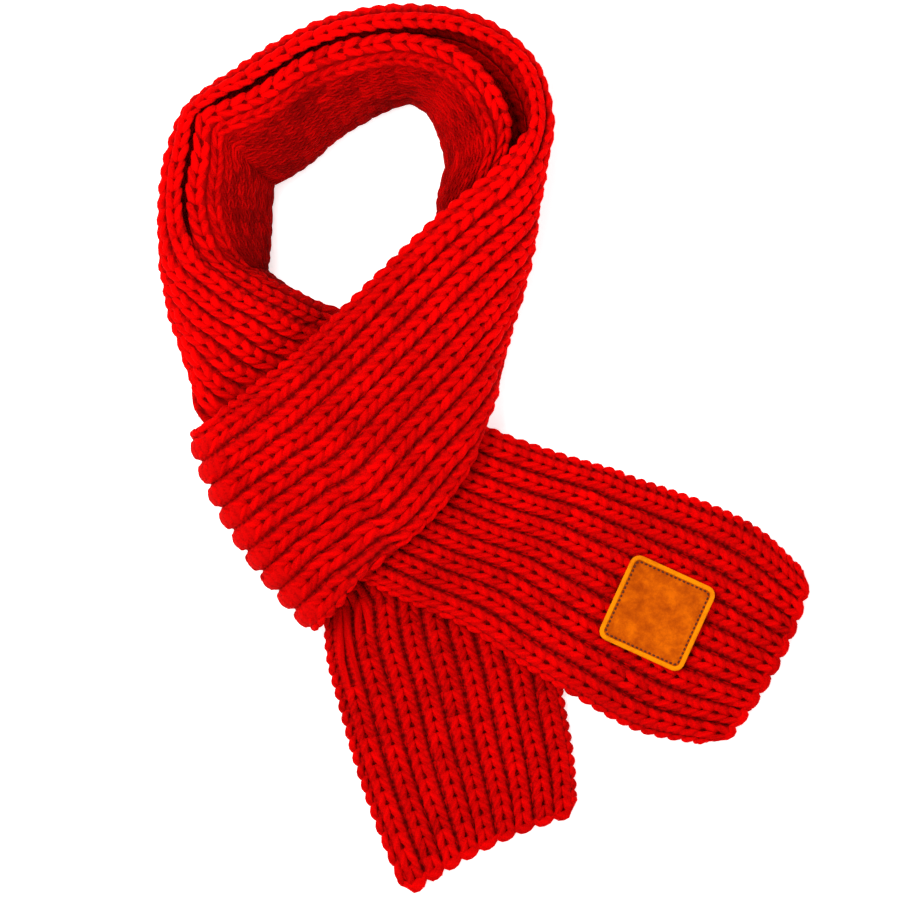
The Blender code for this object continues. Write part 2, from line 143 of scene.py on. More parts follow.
# The tail that lies out to the right, from below the wrap to its cast-off end.
RIGHT_TAIL = [
    #        right  down   up      right  down   up      right  down   up
    Section((175.2, 173.6, 7.4), (149.0, 195.5, 7.8), (122.2, 216.0, 7.4)),
    Section((200.0, 184.0, 7.4), (172.0, 216.0, 7.4), (140.0, 246.0, 7.4)),
    Section((236.0, 208.0, 7.4), (203.0, 243.0, 7.4), (166.0, 279.0, 7.4)),
    Section((278.0, 225.3, 4.0), (242.0, 262.0, 10.0), (199.0, 298.0, 7.4)),
    Section((310.0, 235.5, 0.0), (273.0, 275.0, 11.0), (235.0, 314.0, 7.4)),
    Section((333.0, 244.0, 0.0), (298.0, 288.5, 9.5), (262.0, 332.5, 7.4)),
    Section((355.5, 251.7, 0.0), (321.5, 299.0, 0.0), (287.0, 348.2, 7.4)),
    Section((380.5, 263.7, 0.0), (352.0, 315.0, 0.0), (318.0, 364.2, 0.0)),
    Section((404.0, 285.5, 0.0), (394.0, 328.5, 0.0), (358.8, 372.2, 0.0)),
]

# The tail that lies down the table, from below the right tail to its cast-off end.
LOWER_TAIL = [
    Section((160.8, 308.0, 0.0), (213.5, 294.0, 0.0), (265.5, 280.0, 0.0)),
    Section((161.8, 326.5, 0.0), (216.5, 313.2, 0.0), (270.5, 300.0, 0.0)),
    Section((169.4, 355.0, 0.0), (224.0, 342.0, 0.0), (278.0, 329.0, 0.0)),
    Section((178.0, 386.0, 0.0), (231.0, 371.0, 0.0), (282.5, 356.0, 0.0)),
    Section((188.3, 416.0, 0.0), (238.0, 397.0, 0.0), (286.5, 381.0, 0.0)),
    Section((200.6, 445.3, 0.0), (245.2, 415.3, 0.0), (287.8, 404.3, 0.0)),
]

# The turn at the left of the wrap, where the cloth goes down and under: its line on the table, and its roundness.
TURN_UPPER = (94.2, 219.3)
TURN_BOW = (104.2, 267.0)
TURN_LOWER = (154.5, 316.5)
TURN_AHEAD = (-0.75, 0.66)           # the way the ribs run into the turn
TURN_ROWS = 7

# The hidden stretch from that turn to the lower tail fans out round the turn's lower end.
FAN_START = (163.5, 305.0)
FAN_TURNS = (-122.5, -16.0)          # degrees from the right, at its start and its end
FAN_REACH = (94.0, 98.0, 103.0)      # how far it reaches, at its start, its middle and its end
FAN_BOW = 8.0                        # how far its first row bows out into the turn
FAN_ROWS = 10

LABEL_MIDDLE = (328.5, 306.5)        # the middle of the label, right and down
LABEL_TURN = 24.5                    # degrees that its top edge goes down to the right
LABEL_SPREAD = 6.0                   # the cloth within about this far of a point sets its level
LABEL_GAP = 0.5                      # between the cloth's crests and the label

END_REACH = 0.6          # how far a cast-off end stands out between the ribs
SCALLOP = 1.3            # how far a rib stands out at a cast-off end
RIGHT_CORNERS = (3.5, 6.0)   # rounding of the corners at the right tail's end, at its upper and its lower edge
LOWER_CORNERS = (1.5, 3.5)   # the same at the lower tail's end, at its left and its right edge
END_ROWS = 6             # rows of points over which an end takes its shape
TABLE_CLEARANCE = 0.2    # the least height of the yarn above the table

LOOP_STITCH = 7.7        # one stitch along the strip, where the loop and the wrap stretch it
RIGHT_STITCH = 6.65      # the same on the right tail
LOWER_STITCH = 6.25      # the same on the lower tail
LOOP_SPREAD = 0.94       # how widely the strands of a rib stand, on the loop and the wrap
TAIL_SPREAD = 0.86       # the same on the tails
YARN_FLATNESS = 0.80     # a strand's thickness up from the cloth, as a share of its width
RIB_WANDER = 0.03        # how far a rib strays to the side, in ribs
WANDER_TURNS = (0.21, 0.47)  # how fast its slow and its quick swing turn, in radians to a stitch
QUICK_SWING = 0.6        # the quick swing, as a share of the slow one
TONE_SPREAD = 0.9        # how much the stitches of a rib differ in tone
LEG_SPREAD = 0.5         # how much the two legs of a stitch do
EDGE_SPREAD = 1.0        # how much the loops of an edge do
SHIFT_SPREAD = 0.10      # how far a stitch strays along its rib, in stitches
ASIDE_SPREAD = 0.025     # how far it strays to the side, in ribs
GROW_SPREAD = 0.08       # how much the legs differ in fullness
EDGE_SHIFT = 0.5         # how far an edge loop stands past the stitch beside it, in stitches
EDGE_SHIFT_AT_END = -0.1     # the same for the last one before a cast-off end
EDGE_SHIFT_SPREAD = 0.05
LONGEST_EDGE_LOOP = 2    # in stitches
CHAIN_LEAD = 0.12        # how far the first loop of the cast-off chain reaches past the first rib, in ribs
CHAIN_HEIGHT = 0.7       # of the chain above the middle of the cloth
EDGE_COLUMN = 4.4        # the column of loops beside the first rib
FAR_COLUMN = 1.2         # the same beside the last rib
SHUT_STATIONS = (6, 8)   # the loop's layers lie edge to edge up to the first of these, and part by the second
SHUT_COLUMN = 0.0        # how much of the column beside the first rib shows there
SHUT_REACH = 3.1         # how much further the ground reaches there
ROLLED_COLUMN = -0.7     # how much of it shows where the edge rolls into the loop: the rib itself reaches over it
ROLLED_AWAY = 0.9        # how much of it has to show for its loops to be made
OPENING_ROWS = 8         # rows of points before and after the loop's end over which the whole column comes to show
EDGE_ROLL = 0.60         # how far a rolled edge lies lower, as a share of the part that doesn't show
FAR_ROLL = 1.0           # how far the loops beside the last rib lie lower
LEAST_OF_RIB = 0.35      # of its width, the least that a rib at the foot is made for
COARSE_UP_TO = 7         # stitches at the start of the inner layer where its second rib is a full one too
FINE_PER_RIB = 3         # narrow ribs in the width of a full one
FIRST_FINE = 2           # the first of them that is made
FINE_SHARE = 0.45        # the size of a narrow rib, as a share of a full one
FADING_AT = 0.26         # where the rib that leads over to the narrow ones stands, in ribs, in place of the rest
FADING_SHARE = 0.74      # its size
FINE_PAINTED_SHADE = 6.2         # painted shade on the narrow ribs: how much deeper their colour is, in steps of tone
BACK_PAINTED_SHADE = (-3, -3)     # painted shade on the yarn on the back of the cloth: its tone at the start and at the end of a stretch
PAINTED_LIGHT_FADES = 0.35        # the share of a stretch over which the painted light and shade on its yarn changes from one tone to the other
FINE_GROUND = 1.5        # how high the ground lies between the narrow ribs
FINE_COMES = (0.7, 3.0)  # how much of that height it has where they start, and how much more by each rib's width
PLIES = 3.0              # plies that show round a strand
PLY_TURNS = 2.2          # ply crossings along a strand

GROUND_THICK = 1.0
GROUND_WAVE = (          # how high the ground lies from the middle of a rib, in ribs, to the groove beside it
    (0.0, -0.4),
    (0.09, 0.0),
    (0.20, 1.9),
    (0.33, 1.7),
    (0.42, -0.2),
    (0.50, -1.0),
)
FULL_WAVE = (            # the same where the cloth turns down at the left of the wrap
    (0.0, 3.6),
    (0.16, 3.2),
    (0.30, 2.2),
    (0.42, 0.3),
    (0.50, -0.9),
)
FULL_SHADE = (           # from the middle of a rib there, in ribs, and where in the ground's shading that is
    (0.36, 0.25),
    (0.50, 0.45),
)
PLAIN_SHADE = 0.25       # where in its shading the ground is palest: it is deepest at 0 and at 0.5
FULLER_ROWS = 2          # rows of points over which the ground comes to that
FULLER_RISE = 0.4        # how much higher the strands lie there
SEAM_WIDE = 0.16         # the half width of the seam between the edge loops and the first rib, in ribs
SEAM_BRIDGE = 0.45       # where a loop joins the rib, in stitches
SEAM_HIGH = 2.2          # how high the ground rises there
SEAM_DEEP = 0.6          # how deep it lies between two such places
GROUND_PURL = 0.2        # how far it rises and sinks with each row in a groove
GROUND_INSET = 1.6       # from the edge of the strip
GROUND_STEPS = 4         # rows of points to a stitch
GROOVE_SHADE = 0.26      # painted shade: how much deeper the ground's colour is in the grooves and the holes than on the ribs
GROUND_COLUMNS = 12      # points to a rib

LABEL_CORNER = 5.0
LEATHER_CELLS = 28       # faces along each side of the leather
LEATHER_THICK = 0.9
LEATHER_UP = 1.0         # its face above the bottom of the raised edge, all round
LEATHER_CROWN = 0.35     # how much higher it is in the middle
LEATHER_INSET = 0.6      # from the outside of the raised edge to the leather's own edge
RIM_WIDE = 2.4
RIM_HIGH = 1.9
RIM_ROUND = 0.7          # 1 for a raised edge that is round across, and less for a flatter one
RIM_POINTS = 160         # round the label
RIM_SIDES = 10
SEAM_STEP = 2.3          # from one sewn stitch to the next
SEAM_SHARE = 0.66        # the part of that step that the stitch fills
SEAM_INSET = 0.75        # from the raised edge to the line of sewing
SEAM_CORNER = 0.4        # how much smaller the sewing's corners are than those of the raised edge
SEAM_UP = 1.25           # the sewing above the bottom of the raised edge
SEAM_POINTS = 1601
SEAM_AHEAD = 0.05        # how far ahead a point looks for the way the line runs
SEAM_STITCH = (          # like the strands of yarn, with the thickness as a share of a millimetre
    (-0.05, 0.0, -0.10, 0.0),
    (0.10, 0.0, 0.05, 0.60),
    (0.30, 0.0, 0.12, 0.85),
    (0.50, 0.0, 0.14, 0.90),
    (0.70, 0.0, 0.12, 0.85),
    (0.90, 0.0, 0.05, 0.60),
    (1.05, 0.0, -0.10, 0.0),
)

# What varies over a surface adds up to a tone, which a ramp turns into a colour, and to a height for its bumps.
PLY_TONE = 0.09          # the plies of a strand
STITCH_TONE = 0.07       # one step of the tone that a strand has, of its own and from painted light and shade
FUZZ_TONE = 0.9          # stray fibres
PATCH_TONE = 0.5         # broad patches
STRAND_TONE = 0.10       # the short strands of the ground
PLY_HEIGHT = 0.35
FUZZ_HEIGHT = 0.7
BLOTCH_HEIGHT = 0.8      # the blotches of the leather, beside its grain
FUZZ_SCALE = 1400.0      # the scales are how fine a pattern is, in waves to a metre
GROUND_FUZZ_SCALE = 900.0
PATCH_SCALE = 26.0
BLOTCH_SCALE = 130.0
GRAIN_SCALE = 1500.0
FLOOR_SCALE = 3.0
FUZZ = {"Detail": 3.0, "Roughness": 0.65}
BLOTCHES = {"Detail": 5.0, "Roughness": 0.7}

FLOOR_SIDE = 12.0        # metres
FLOOR_GLOW = 0.6
FLOOR_PALER = 1.02       # its palest parts, beside the rest
CAMERA_LENS = 900.0      # long, so that the render is almost without perspective
SENSOR = 36.0
CLIP_START = 0.1         # metres
CLIP_END = 4             # in distances from the camera to the table
FRAME_WIDE = 0.450       # metres of the table across the render
FRAME_MIDDLE = (-0.0157, -0.0021)    # the point of the table that the camera looks at
WORLD_LIGHT = (1.1, 0.45)    # at the horizon and straight above
LAMPS = (
    # name, place, size, power
    ("key", (-0.45, 0.35, 0.9), 0.6, 7.5),
    ("fill", (-0.9, -1.2, 1.6), 1.8, 12.0),
    ("side", (1.0, 0.1, 0.11), 0.3, 3.0),
)

POINT_ROWS = 3.0         # spacing of the rows of points that a stretch is worked out on
COLUMNS = 65             # points in each of those rows


def to_metres(points):
    """Table points (right, down, up) in millimetres as model points in metres."""
    points = np.asarray(points, float)
    right, down, up = points[..., 0], points[..., 1], points[..., 2]
    return np.stack([right - LAYOUT_MIDDLE[0], LAYOUT_MIDDLE[1] - down, up], axis=-1) / 1000


def smooth_path(points, step):
    """A cubic through the points, each kept, with points about a step apart between them."""
    points = np.array(points, float)
    spans = np.linalg.norm(np.diff(points, axis=0), axis=1)
    slope = np.diff(points, axis=0) / spans[:, None]
    tangent = np.vstack([slope[:1], slope[1:], slope[-1:]])
    for i in range(1, len(points) - 1):
        weight = spans[i - 1] / (spans[i - 1] + spans[i])
        tangent[i] = slope[i - 1] * (1 - weight) + slope[i] * weight
    path = [points[0]]
    for i, span in enumerate(spans):
        steps = max(1, int(round(span / step)))
        for t in np.arange(1, steps + 1) / steps:
            path.append(
                (2 * t**3 - 3 * t**2 + 1) * points[i]
                + (t**3 - 2 * t**2 + t) * span * tangent[i]
                + (3 * t**2 - 2 * t**3) * points[i + 1]
                + (t**3 - t**2) * span * tangent[i + 1]
            )
    return np.array(path)


def arched_section(station):
    """The edge, bow and foot of a layer that arches from its rim as far as its outside and back to its foot."""
    rim = np.array(station.rim)
    out = np.array(station.outside) - rim
    reach = np.linalg.norm(out)
    out = out / reach
    reach = max(reach - THICK, LEAST_REACH)
    foot = np.array(station.foot)
    foot_out = min(float((foot - rim) @ out), reach)
    bow_out = reach + math.sqrt(reach * (reach - foot_out))
    aside = (foot - rim - foot_out * out) * BOW_LEAN
    level = station.height - THICK
    edge = rim + out * RIM_GAP
    bow = rim + out * bow_out + aside
    return (
        (edge[0], edge[1], level),
        (bow[0], bow[1], level + BOW_RISE),
        (foot[0], foot[1], station.foot_up),
    )


def cloth_rows(sections, ribs):
    """The plain face of a stretch as rows of points from its edge to its foot, and the ribs in each row."""
    flat = [[*np.ravel(section), count] for section, count in zip(sections, ribs)]
    path = smooth_path(flat, POINT_ROWS * math.sqrt(3))
    controls = path[:, :9].reshape(len(path), 3, 3)
    t = np.linspace(0, 1, COLUMNS)[None, :, None]
    edge, bow, foot = (controls[:, i][:, None, :] for i in range(3))
    return (1 - t) ** 2 * edge + 2 * t * (1 - t) * bow + t**2 * foot, path[:, 9]


def turn_sections():
    """Sections round the turn at the left of the wrap, from its upper level down to the table."""
    line = np.array((TURN_UPPER, TURN_BOW, TURN_LOWER))
    along = np.array((line[1] - line[0], line[2] - line[0], line[2] - line[1]))
    along /= np.linalg.norm(along, axis=1, keepdims=True)
    out = np.column_stack((-along[:, 1], along[:, 0]))
    ahead = np.array(TURN_AHEAD) / np.linalg.norm(TURN_AHEAD)
    ahead = ahead / (out @ ahead)[:, None]
    top, bottom = FRONT_WRAP[-1].foot_up, THICK
    middle, radius = (top + bottom) / 2, (top - bottom) / 2
    sections = []
    for i in range(TURN_ROWS + 1):
        angle = math.pi * i / TURN_ROWS
        points = line + ahead * (radius * math.sin(angle) - radius - THICK)
        up = middle + radius * math.cos(angle)
        sections.append([(*point, up) for point in points])
    return sections


def fan_sections():
    """Flat sections that turn about the lower end of the wrap's turn, up to the first one of the lower tail."""
    sections = []
    first, last = np.array(FAN_START), np.array(LOWER_TAIL[0].edge[:2])
    for i in range(FAN_ROWS):
        t = i / FAN_ROWS
        angle = math.radians(FAN_TURNS[0] + t * (FAN_TURNS[1] - FAN_TURNS[0]))
        ahead = np.array((math.cos(angle), math.sin(angle)))
        behind = np.array((math.sin(angle), -math.cos(angle)))
        start, middle, end = FAN_REACH
        reach = start * (1 - t) ** 2 + 2 * middle * t * (1 - t) + end * t**2
        pivot = first + t * (last - first)
        tip = pivot + reach * ahead
        bow = (pivot + tip) / 2 + behind * FAN_BOW * (1 - t) ** 4
        sections.append(((*pivot, 0.0), (*bow, 0.0), (*tip, 0.0)))
    return sections


class Cloth:
    """A stretch of the strip: rows of points on its plain face, and the way from that to its ribbed face.

    Each row also has the width of the edge column that shows, how much further the ground reaches, how much fuller
    the cloth is, the ribs across it, and their pitch. Without a list of ribs they are as many as have room.
    """

    def __init__(self, rows, ribs, side, edge=EDGE_COLUMN, reaches=0.0, fuller=0.0):
        rows[..., 2] = np.maximum(rows[..., 2], 0.0)
        normal = np.cross(np.gradient(rows, axis=0), np.gradient(rows, axis=1)) * side
        normal /= np.maximum(np.linalg.norm(normal, axis=2, keepdims=True), 1e-9)
        steps = np.linalg.norm(np.diff(rows + normal * THICK, axis=1), axis=2)
        reach = np.concatenate([np.zeros((len(rows), 1)), np.cumsum(steps, axis=1)], axis=1)
        self.plain = np.empty_like(rows)
        self.normal = np.empty_like(rows)
        for i, distances in enumerate(reach):
            even = np.linspace(0, distances[-1], COLUMNS)
            for axis in range(3):
                self.plain[i, :, axis] = np.interp(even, distances, rows[i, :, axis])
                self.normal[i, :, axis] = np.interp(even, distances, normal[i, :, axis])
        self.normal /= np.linalg.norm(self.normal, axis=2, keepdims=True)
        self.width = reach[:, -1]
        self.edge, self.reaches, self.fuller = (
            np.broadcast_to(np.asarray(values, float), len(rows)) for values in (edge, reaches, fuller))
        across = self.width - self.edge - FAR_COLUMN
        self.ribs = np.minimum(across / RIB_PITCH, RIBS) if ribs is None else np.array(ribs, float)
        self.pitch = across / self.ribs
        self.last = len(rows) - 1

    def of_row(self, values, row):
        """What a list of one value for each row says at any row."""
        return np.interp(row, np.arange(self.last + 1), values)

    def length_at(self, share):
        """How far each row is along the strip, measured at a share of its width."""
        column = int(round(share * (COLUMNS - 1)))
        line = self.plain[:, column] + self.normal[:, column] * THICK
        return np.concatenate([[0], np.cumsum(np.linalg.norm(np.diff(line, axis=0), axis=1))])

    def at(self, row, place, height, clearance=TABLE_CLEARANCE):
        """Table points at a row, a place in ribs from the first rib's edge, and a height above the cloth's middle."""
        row, place, height = np.broadcast_arrays(row, place, height)
        reach = self.of_row(self.edge, row) + place * self.of_row(self.pitch, row)
        column = reach / self.of_row(self.width, row) * (COLUMNS - 1)
        i = np.clip(row.astype(int), 0, self.last - 1)
        j = np.clip(column.astype(int), 0, COLUMNS - 2)
        a, b = (row - i)[..., None], (column - j)[..., None]
        plain, normal = (
            (grid[i, j] * (1 - a) + grid[i + 1, j] * a) * (1 - b)
            + (grid[i, j + 1] * (1 - a) + grid[i + 1, j + 1] * a) * b
            for grid in (self.plain, self.normal)
        )
        points = plain + normal * (THICK / 2 + height)[..., None]
        points[..., 2] = np.maximum(points[..., 2], clearance)
        return points


# ---------------------------------------------------------------- the yarn

# A strand ring by ring: how far up the stitch it is, in stitches, how far aside and above the middle of the cloth,
# in millimetres, and its thickness as a share of the yarn's. The first and last are its tips.
KNIT_LEG = (
    (-0.30, 1.60, -0.6, 0.0),
    (-0.13, 1.75, 0.45, 0.82),
    (0.14, 2.05, 1.20, 1.02),
    (0.46, 2.45, 1.40, 1.07),
    (0.70, 3.35, 1.10, 0.93),
    (1.00, 3.30, 0.50, 0.92),
    (1.32, 2.95, -0.8, 0.0),
)
EDGE_LOOP = (            # the loop beside the first or last rib, aside counted towards that rib
    (-0.22, 2.50, -0.6, 0.0),
    (-0.04, 2.00, 0.2, 0.62),
    (0.18, 1.15, 0.6, 0.88),
    (0.48, 0.20, 0.8, 0.98),
    (0.78, -0.15, 0.5, 0.92),
    (1.04, 0.15, -0.1, 0.66),
    (1.26, 0.60, -0.9, 0.0),
)
CHAIN_LOOP = (           # a loop of the cast-off chain, which lies across the strip, aside counted along the strip
    (-0.16, -0.6, -0.8, 0.0),
    (0.00, -0.3, 0.0, 0.70),
    (0.22, 0.0, 0.5, 0.92),
    (0.50, 0.15, 0.7, 0.98),
    (0.78, 0.0, 0.5, 0.92),
    (1.00, -0.3, 0.0, 0.70),
    (1.16, -0.6, -0.8, 0.0),
)


def deselect_all():
    if bpy.context.mode != "OBJECT":
        bpy.ops.object.mode_set(mode="OBJECT")
    bpy.ops.object.select_all(action="DESELECT")


def apply_modifiers(obj):
    deselect_all()
    bpy.context.view_layer.objects.active = obj
    obj.select_set(True)
    for modifier in list(obj.modifiers):
        bpy.ops.object.modifier_apply(modifier=modifier.name)


def make_strand(name, rings, thick):
    """A ball of eight sides drawn out ring by ring in edit mode into a plump, leaning strand of yarn.

    It stands on its tip: x is aside, y is above the cloth, and z is up the stitch.
    """
    deselect_all()
    bpy.ops.mesh.primitive_uv_sphere_add(segments=8, ring_count=len(rings) - 1, radius=1.0, location=(0, 0, 0))
    strand = bpy.context.object
    strand.name = name
    levels = sorted({round(v.co.z, 4) for v in strand.data.vertices})
    bpy.ops.object.mode_set(mode="EDIT")
    mesh = bmesh.from_edit_mesh(strand.data)
    groups = [[v for v in mesh.verts if abs(v.co.z - level) < 1e-3] for level in levels]
    for level, group, (up, aside, above, share) in zip(levels, groups, rings):
        bpy.ops.mesh.select_all(action="DESELECT")
        for v in group:
            v.select_set(True)
        bmesh.update_edit_mesh(strand.data)
        wide = max(math.hypot(v.co.x, v.co.y) for v in group)
        if len(group) > 1:
            grow = thick / 2 * share / wide
            bpy.ops.transform.resize(value=(grow, grow * YARN_FLATNESS, 1), center_override=(0, 0, level))
        bpy.ops.transform.translate(value=(aside, above, up - level))
    bpy.ops.object.mode_set(mode="OBJECT")
    return strand


class Template:
    """The points, faces and texture coordinates of a strand, ready to copy."""

    def __init__(self, strand):
        data = strand.data
        self.points = np.array([v.co for v in data.vertices])
        uv = data.uv_layers.active.data
        self.faces, self.uvs = {}, {}
        # The faces of a new sphere come in another order each time, so they are sorted.
        in_order = sorted(data.polygons, key=lambda p: p.vertices[:])
        for size in (3, 4):
            polygons = [p for p in in_order if len(p.vertices) == size]
            self.faces[size] = np.array([p.vertices[:] for p in polygons])
            self.uvs[size] = np.array([[uv[k].uv[:] for k in p.loop_indices] for p in polygons])
        bpy.data.objects.remove(strand)

    def turned_out(self, points):
        """False if a copy with these points has its faces turned in."""
        volume = 0.0
        for faces in self.faces.values():
            for k in range(1, faces.shape[1] - 1):
                a, b, c = points[faces[:, 0]], points[faces[:, k]], points[faces[:, k + 1]]
                volume += float(np.einsum("ij,ij->", a, np.cross(b, c)))
        return volume > 0


def copies_of(name, template, copies, tones, material):
    """One object of many copies of a strand. Each entry of copies is the points of one copy, in metres."""
    corners, uvs, sizes = [], [], []
    for i, points in enumerate(copies):
        outward = template.turned_out(points - points.mean(axis=0))
        for size, faces in template.faces.items():
            order = slice(None) if outward else slice(None, None, -1)
            corners.append((faces[:, order] + i * len(points)).ravel())
            uvs.append(template.uvs[size][:, order].reshape(-1, 2))
            sizes.append(np.full(len(faces), size))
    corners, uvs, sizes = np.concatenate(corners), np.concatenate(uvs), np.concatenate(sizes)
    data = bpy.data.meshes.new(name)
    data.vertices.add(copies.shape[0] * copies.shape[1])
    data.vertices.foreach_set("co", copies.ravel())
    data.loops.add(len(corners))
    data.loops.foreach_set("vertex_index", corners)
    data.polygons.add(len(sizes))
    data.polygons.foreach_set("loop_start", np.concatenate([[0], np.cumsum(sizes)[:-1]]))
    data.polygons.foreach_set("loop_total", sizes)
    data.uv_layers.new(name="strand").data.foreach_set("uv", uvs.ravel())
    data.attributes.new("tone", "FLOAT", "POINT").data.foreach_set("value", np.repeat(tones, copies.shape[1]))
    data.update(calc_edges=True)
    data.validate()
    data.shade_smooth()
    return finished(name, data, material)


def finished(name, data, material):
    """A piece of the scarf, which rides on its only body."""
    data.materials.clear()
    data.materials.append(material)
    made = bpy.data.objects.new(name, data)
    bpy.context.scene.collection.objects.link(made)
    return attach(made, "root")


class Stitches:
    """The rows of stitches on part of a stretch, evenly spaced along the line at a share of its width."""

    def __init__(self, cloth, span, stitch, spread, even_at, apex_first, seed):
        first, last = span
        length = cloth.length_at(even_at)
        count = int(round((length[last] - length[first]) / stitch))
        rows = np.interp(np.linspace(length[first], length[last], count + 1), length, np.arange(cloth.last + 1))
        self.rows = np.concatenate([[2 * rows[0] - rows[1]], rows, [2 * rows[-1] - rows[-2]]])
        self.count = count
        self.stitch = stitch
        self.spread = spread
        self.cloth = cloth
        self.up = 1 if apex_first else -1
        self.random = np.random.default_rng(seed)
        self.wander = self.random.uniform(0, 2 * math.pi, (RIBS + 2, 3))
        self.end = None

    def row_at(self, stitches):
        return np.interp(stitches, np.arange(-1, self.count + 2), self.rows)

    def wander_of(self, rib, stitches):
        """How far a rib strays from its even place, in ribs."""
        phases = self.wander[rib % len(self.wander)]
        slow, quick = (np.sin(stitches * turn + phase) for turn, phase in zip(WANDER_TURNS, phases))
        return RIB_WANDER * (slow + QUICK_SWING * quick)

    def rows_a_strand_spans(self, stitch, place):
        """1 where the rows lie at their full length, and 2, 4 or 8 where the cloth is drawn together."""
        ends = self.cloth.at(self.row_at(stitch + np.array((0.0, 1.0))), place, THICK / 2)
        length = float(np.linalg.norm(ends[1] - ends[0]))
        return 2 ** int(np.clip(round(math.log2(self.stitch / max(length, 0.1))), 0, 3))

    def place_strand(self, template, stitch, place, rib, mirror, grow, raised=0.0, span=1):
        """The points of one strand that stands at a stitch and a place in ribs."""
        x, above, up = template.points.T
        along = stitch + span * (0.5 + self.up * (up - 0.5))
        row = self.row_at(along)
        aside = mirror * x * self.spread / self.cloth.of_row(self.cloth.pitch, row)
        across = place + self.wander_of(rib, along) + aside
        if self.end is not None:
            row = row + self.end(across, row)
        return self.cloth.at(row, across, above * grow + raised)

    def place_chain(self, template, low, high, stitch, height):
        """The points of one loop of the cast-off edge, which lies across the strip from one place to another."""
        x, above, up = template.points.T
        across = low + up * (high - low)
        row = self.row_at(stitch + x / self.stitch)
        if self.end is not None:
            row = row + self.end(across, row)
        return self.cloth.at(row, across, height + above)


def knit_face(stitches, name, face, strands, material, edges=(True, True), chain_at=None, fine_from=None,
              painted_light_and_shade=(0, 0), coarse_up_to=0):
    """The yarn on one face of a stretch: a leg to each side of every rib, and the loops along the edges.

    From the rib fine_from on, the cloth shows its finer side, of narrow ribs, but for the first coarse_up_to
    stitches of that rib, which are full ones. chain_at is the stitch that the cast-off chain lies on.
    """
    leg, edge, chain = strands
    random, cloth, count = stitches.random, stitches.cloth, stitches.count
    copies, tones = [], []

    def add(points, tone):
        copies.append(to_metres(points))
        tones.append(tone)

    rows = stitches.row_at(np.arange(count) + 0.5)
    ribs, pitches = cloth.of_row(cloth.ribs, rows), cloth.of_row(cloth.pitch, rows)
    most = math.ceil(ribs.max())
    # painted light and shade: the yarn of each stretch is made lighter or darker in tone, from one value at its start
    # to another
    painted_lights_and_shades = np.interp(np.arange(count), (0, PAINTED_LIGHT_FADES * count), painted_light_and_shade)
    fuller = cloth.of_row(cloth.fuller, rows) * FULLER_RISE
    if face > 0:
        made = [(k + 0.5, 1.0, 0, count) for k in range(most if fine_from is None else fine_from)]
    else:
        made = [(float(k), 1.0, 0, count) for k in range(1, most)]
    if fine_from is not None:
        made.append((fine_from + FADING_AT, FADING_SHARE, coarse_up_to, count))
        for k in range(FIRST_FINE, FINE_PER_RIB * (most - fine_from)):
            made.append((fine_from + (k + 0.5) / FINE_PER_RIB, FINE_SHARE, coarse_up_to, count))
        made.append((fine_from + 0.5, 1.0, 0, coarse_up_to))
    for rib, (place, share, stitch, end) in enumerate(made):
        while stitch < end:
            if place > ribs[stitch] - LEAST_OF_RIB:
                stitch += 1
                continue
            span = min(stitches.rows_a_strand_spans(stitch, place), end - stitch)
            # painted shade on the narrow ribs, and less of it on the rib that leads over to them
            shade = FINE_PAINTED_SHADE * (1 - share) / (1 - FINE_SHARE)
            tone = random.normal(0, TONE_SPREAD) - shade + painted_lights_and_shades[stitch]
            shift = random.uniform(-SHIFT_SPREAD, SHIFT_SPREAD)
            aside = random.uniform(-ASIDE_SPREAD, ASIDE_SPREAD)
            raised = FINE_GROUND if share < 1 else face * fuller[stitch]
            for mirror in (-1, 1):
                grow = (1 + random.uniform(-GROW_SPREAD, GROW_SPREAD)) * share
                points = stitches.place_strand(
                    leg, stitch + shift, place + aside, rib, mirror * share, face * grow, raised, span)
                add(points, tone + random.normal(0, LEG_SPREAD))
            stitch += span
    for at_foot, wanted in enumerate(edges):
        stitch = 0
        while wanted and stitch < count:
            column = FAR_COLUMN if at_foot else float(cloth.of_row(cloth.edge, rows[stitch]))
            beside = column / 2 / pitches[stitch]
            place, mirror = (ribs[stitch] + beside, -1) if at_foot else (-beside, 1)
            span = min(stitches.rows_a_strand_spans(stitch, place), count - stitch, LONGEST_EDGE_LOOP)
            if at_foot or column > ROLLED_AWAY:
                ends = chain_at is not None and stitch + span == count
                shift = EDGE_SHIFT_AT_END if ends else EDGE_SHIFT
                shift += random.uniform(-EDGE_SHIFT_SPREAD, EDGE_SHIFT_SPREAD)
                rolled = FAR_ROLL if at_foot else (EDGE_COLUMN - column) * EDGE_ROLL
                points = stitches.place_strand(edge, stitch + shift, place, 0, mirror, face, -face * rolled, span)
                add(points, random.normal(0, EDGE_SPREAD) + painted_lights_and_shades[stitch])
            stitch += span
    if chain_at is not None:
        for rib in range(RIBS):
            low = rib - (0.0 if rib else CHAIN_LEAD)
            points = stitches.place_chain(chain, low, rib + 1.0, chain_at, face * CHAIN_HEIGHT)
            add(points, random.normal(0, EDGE_SPREAD))
    return copies_of(name, leg, np.array(copies), np.array(tones), material)


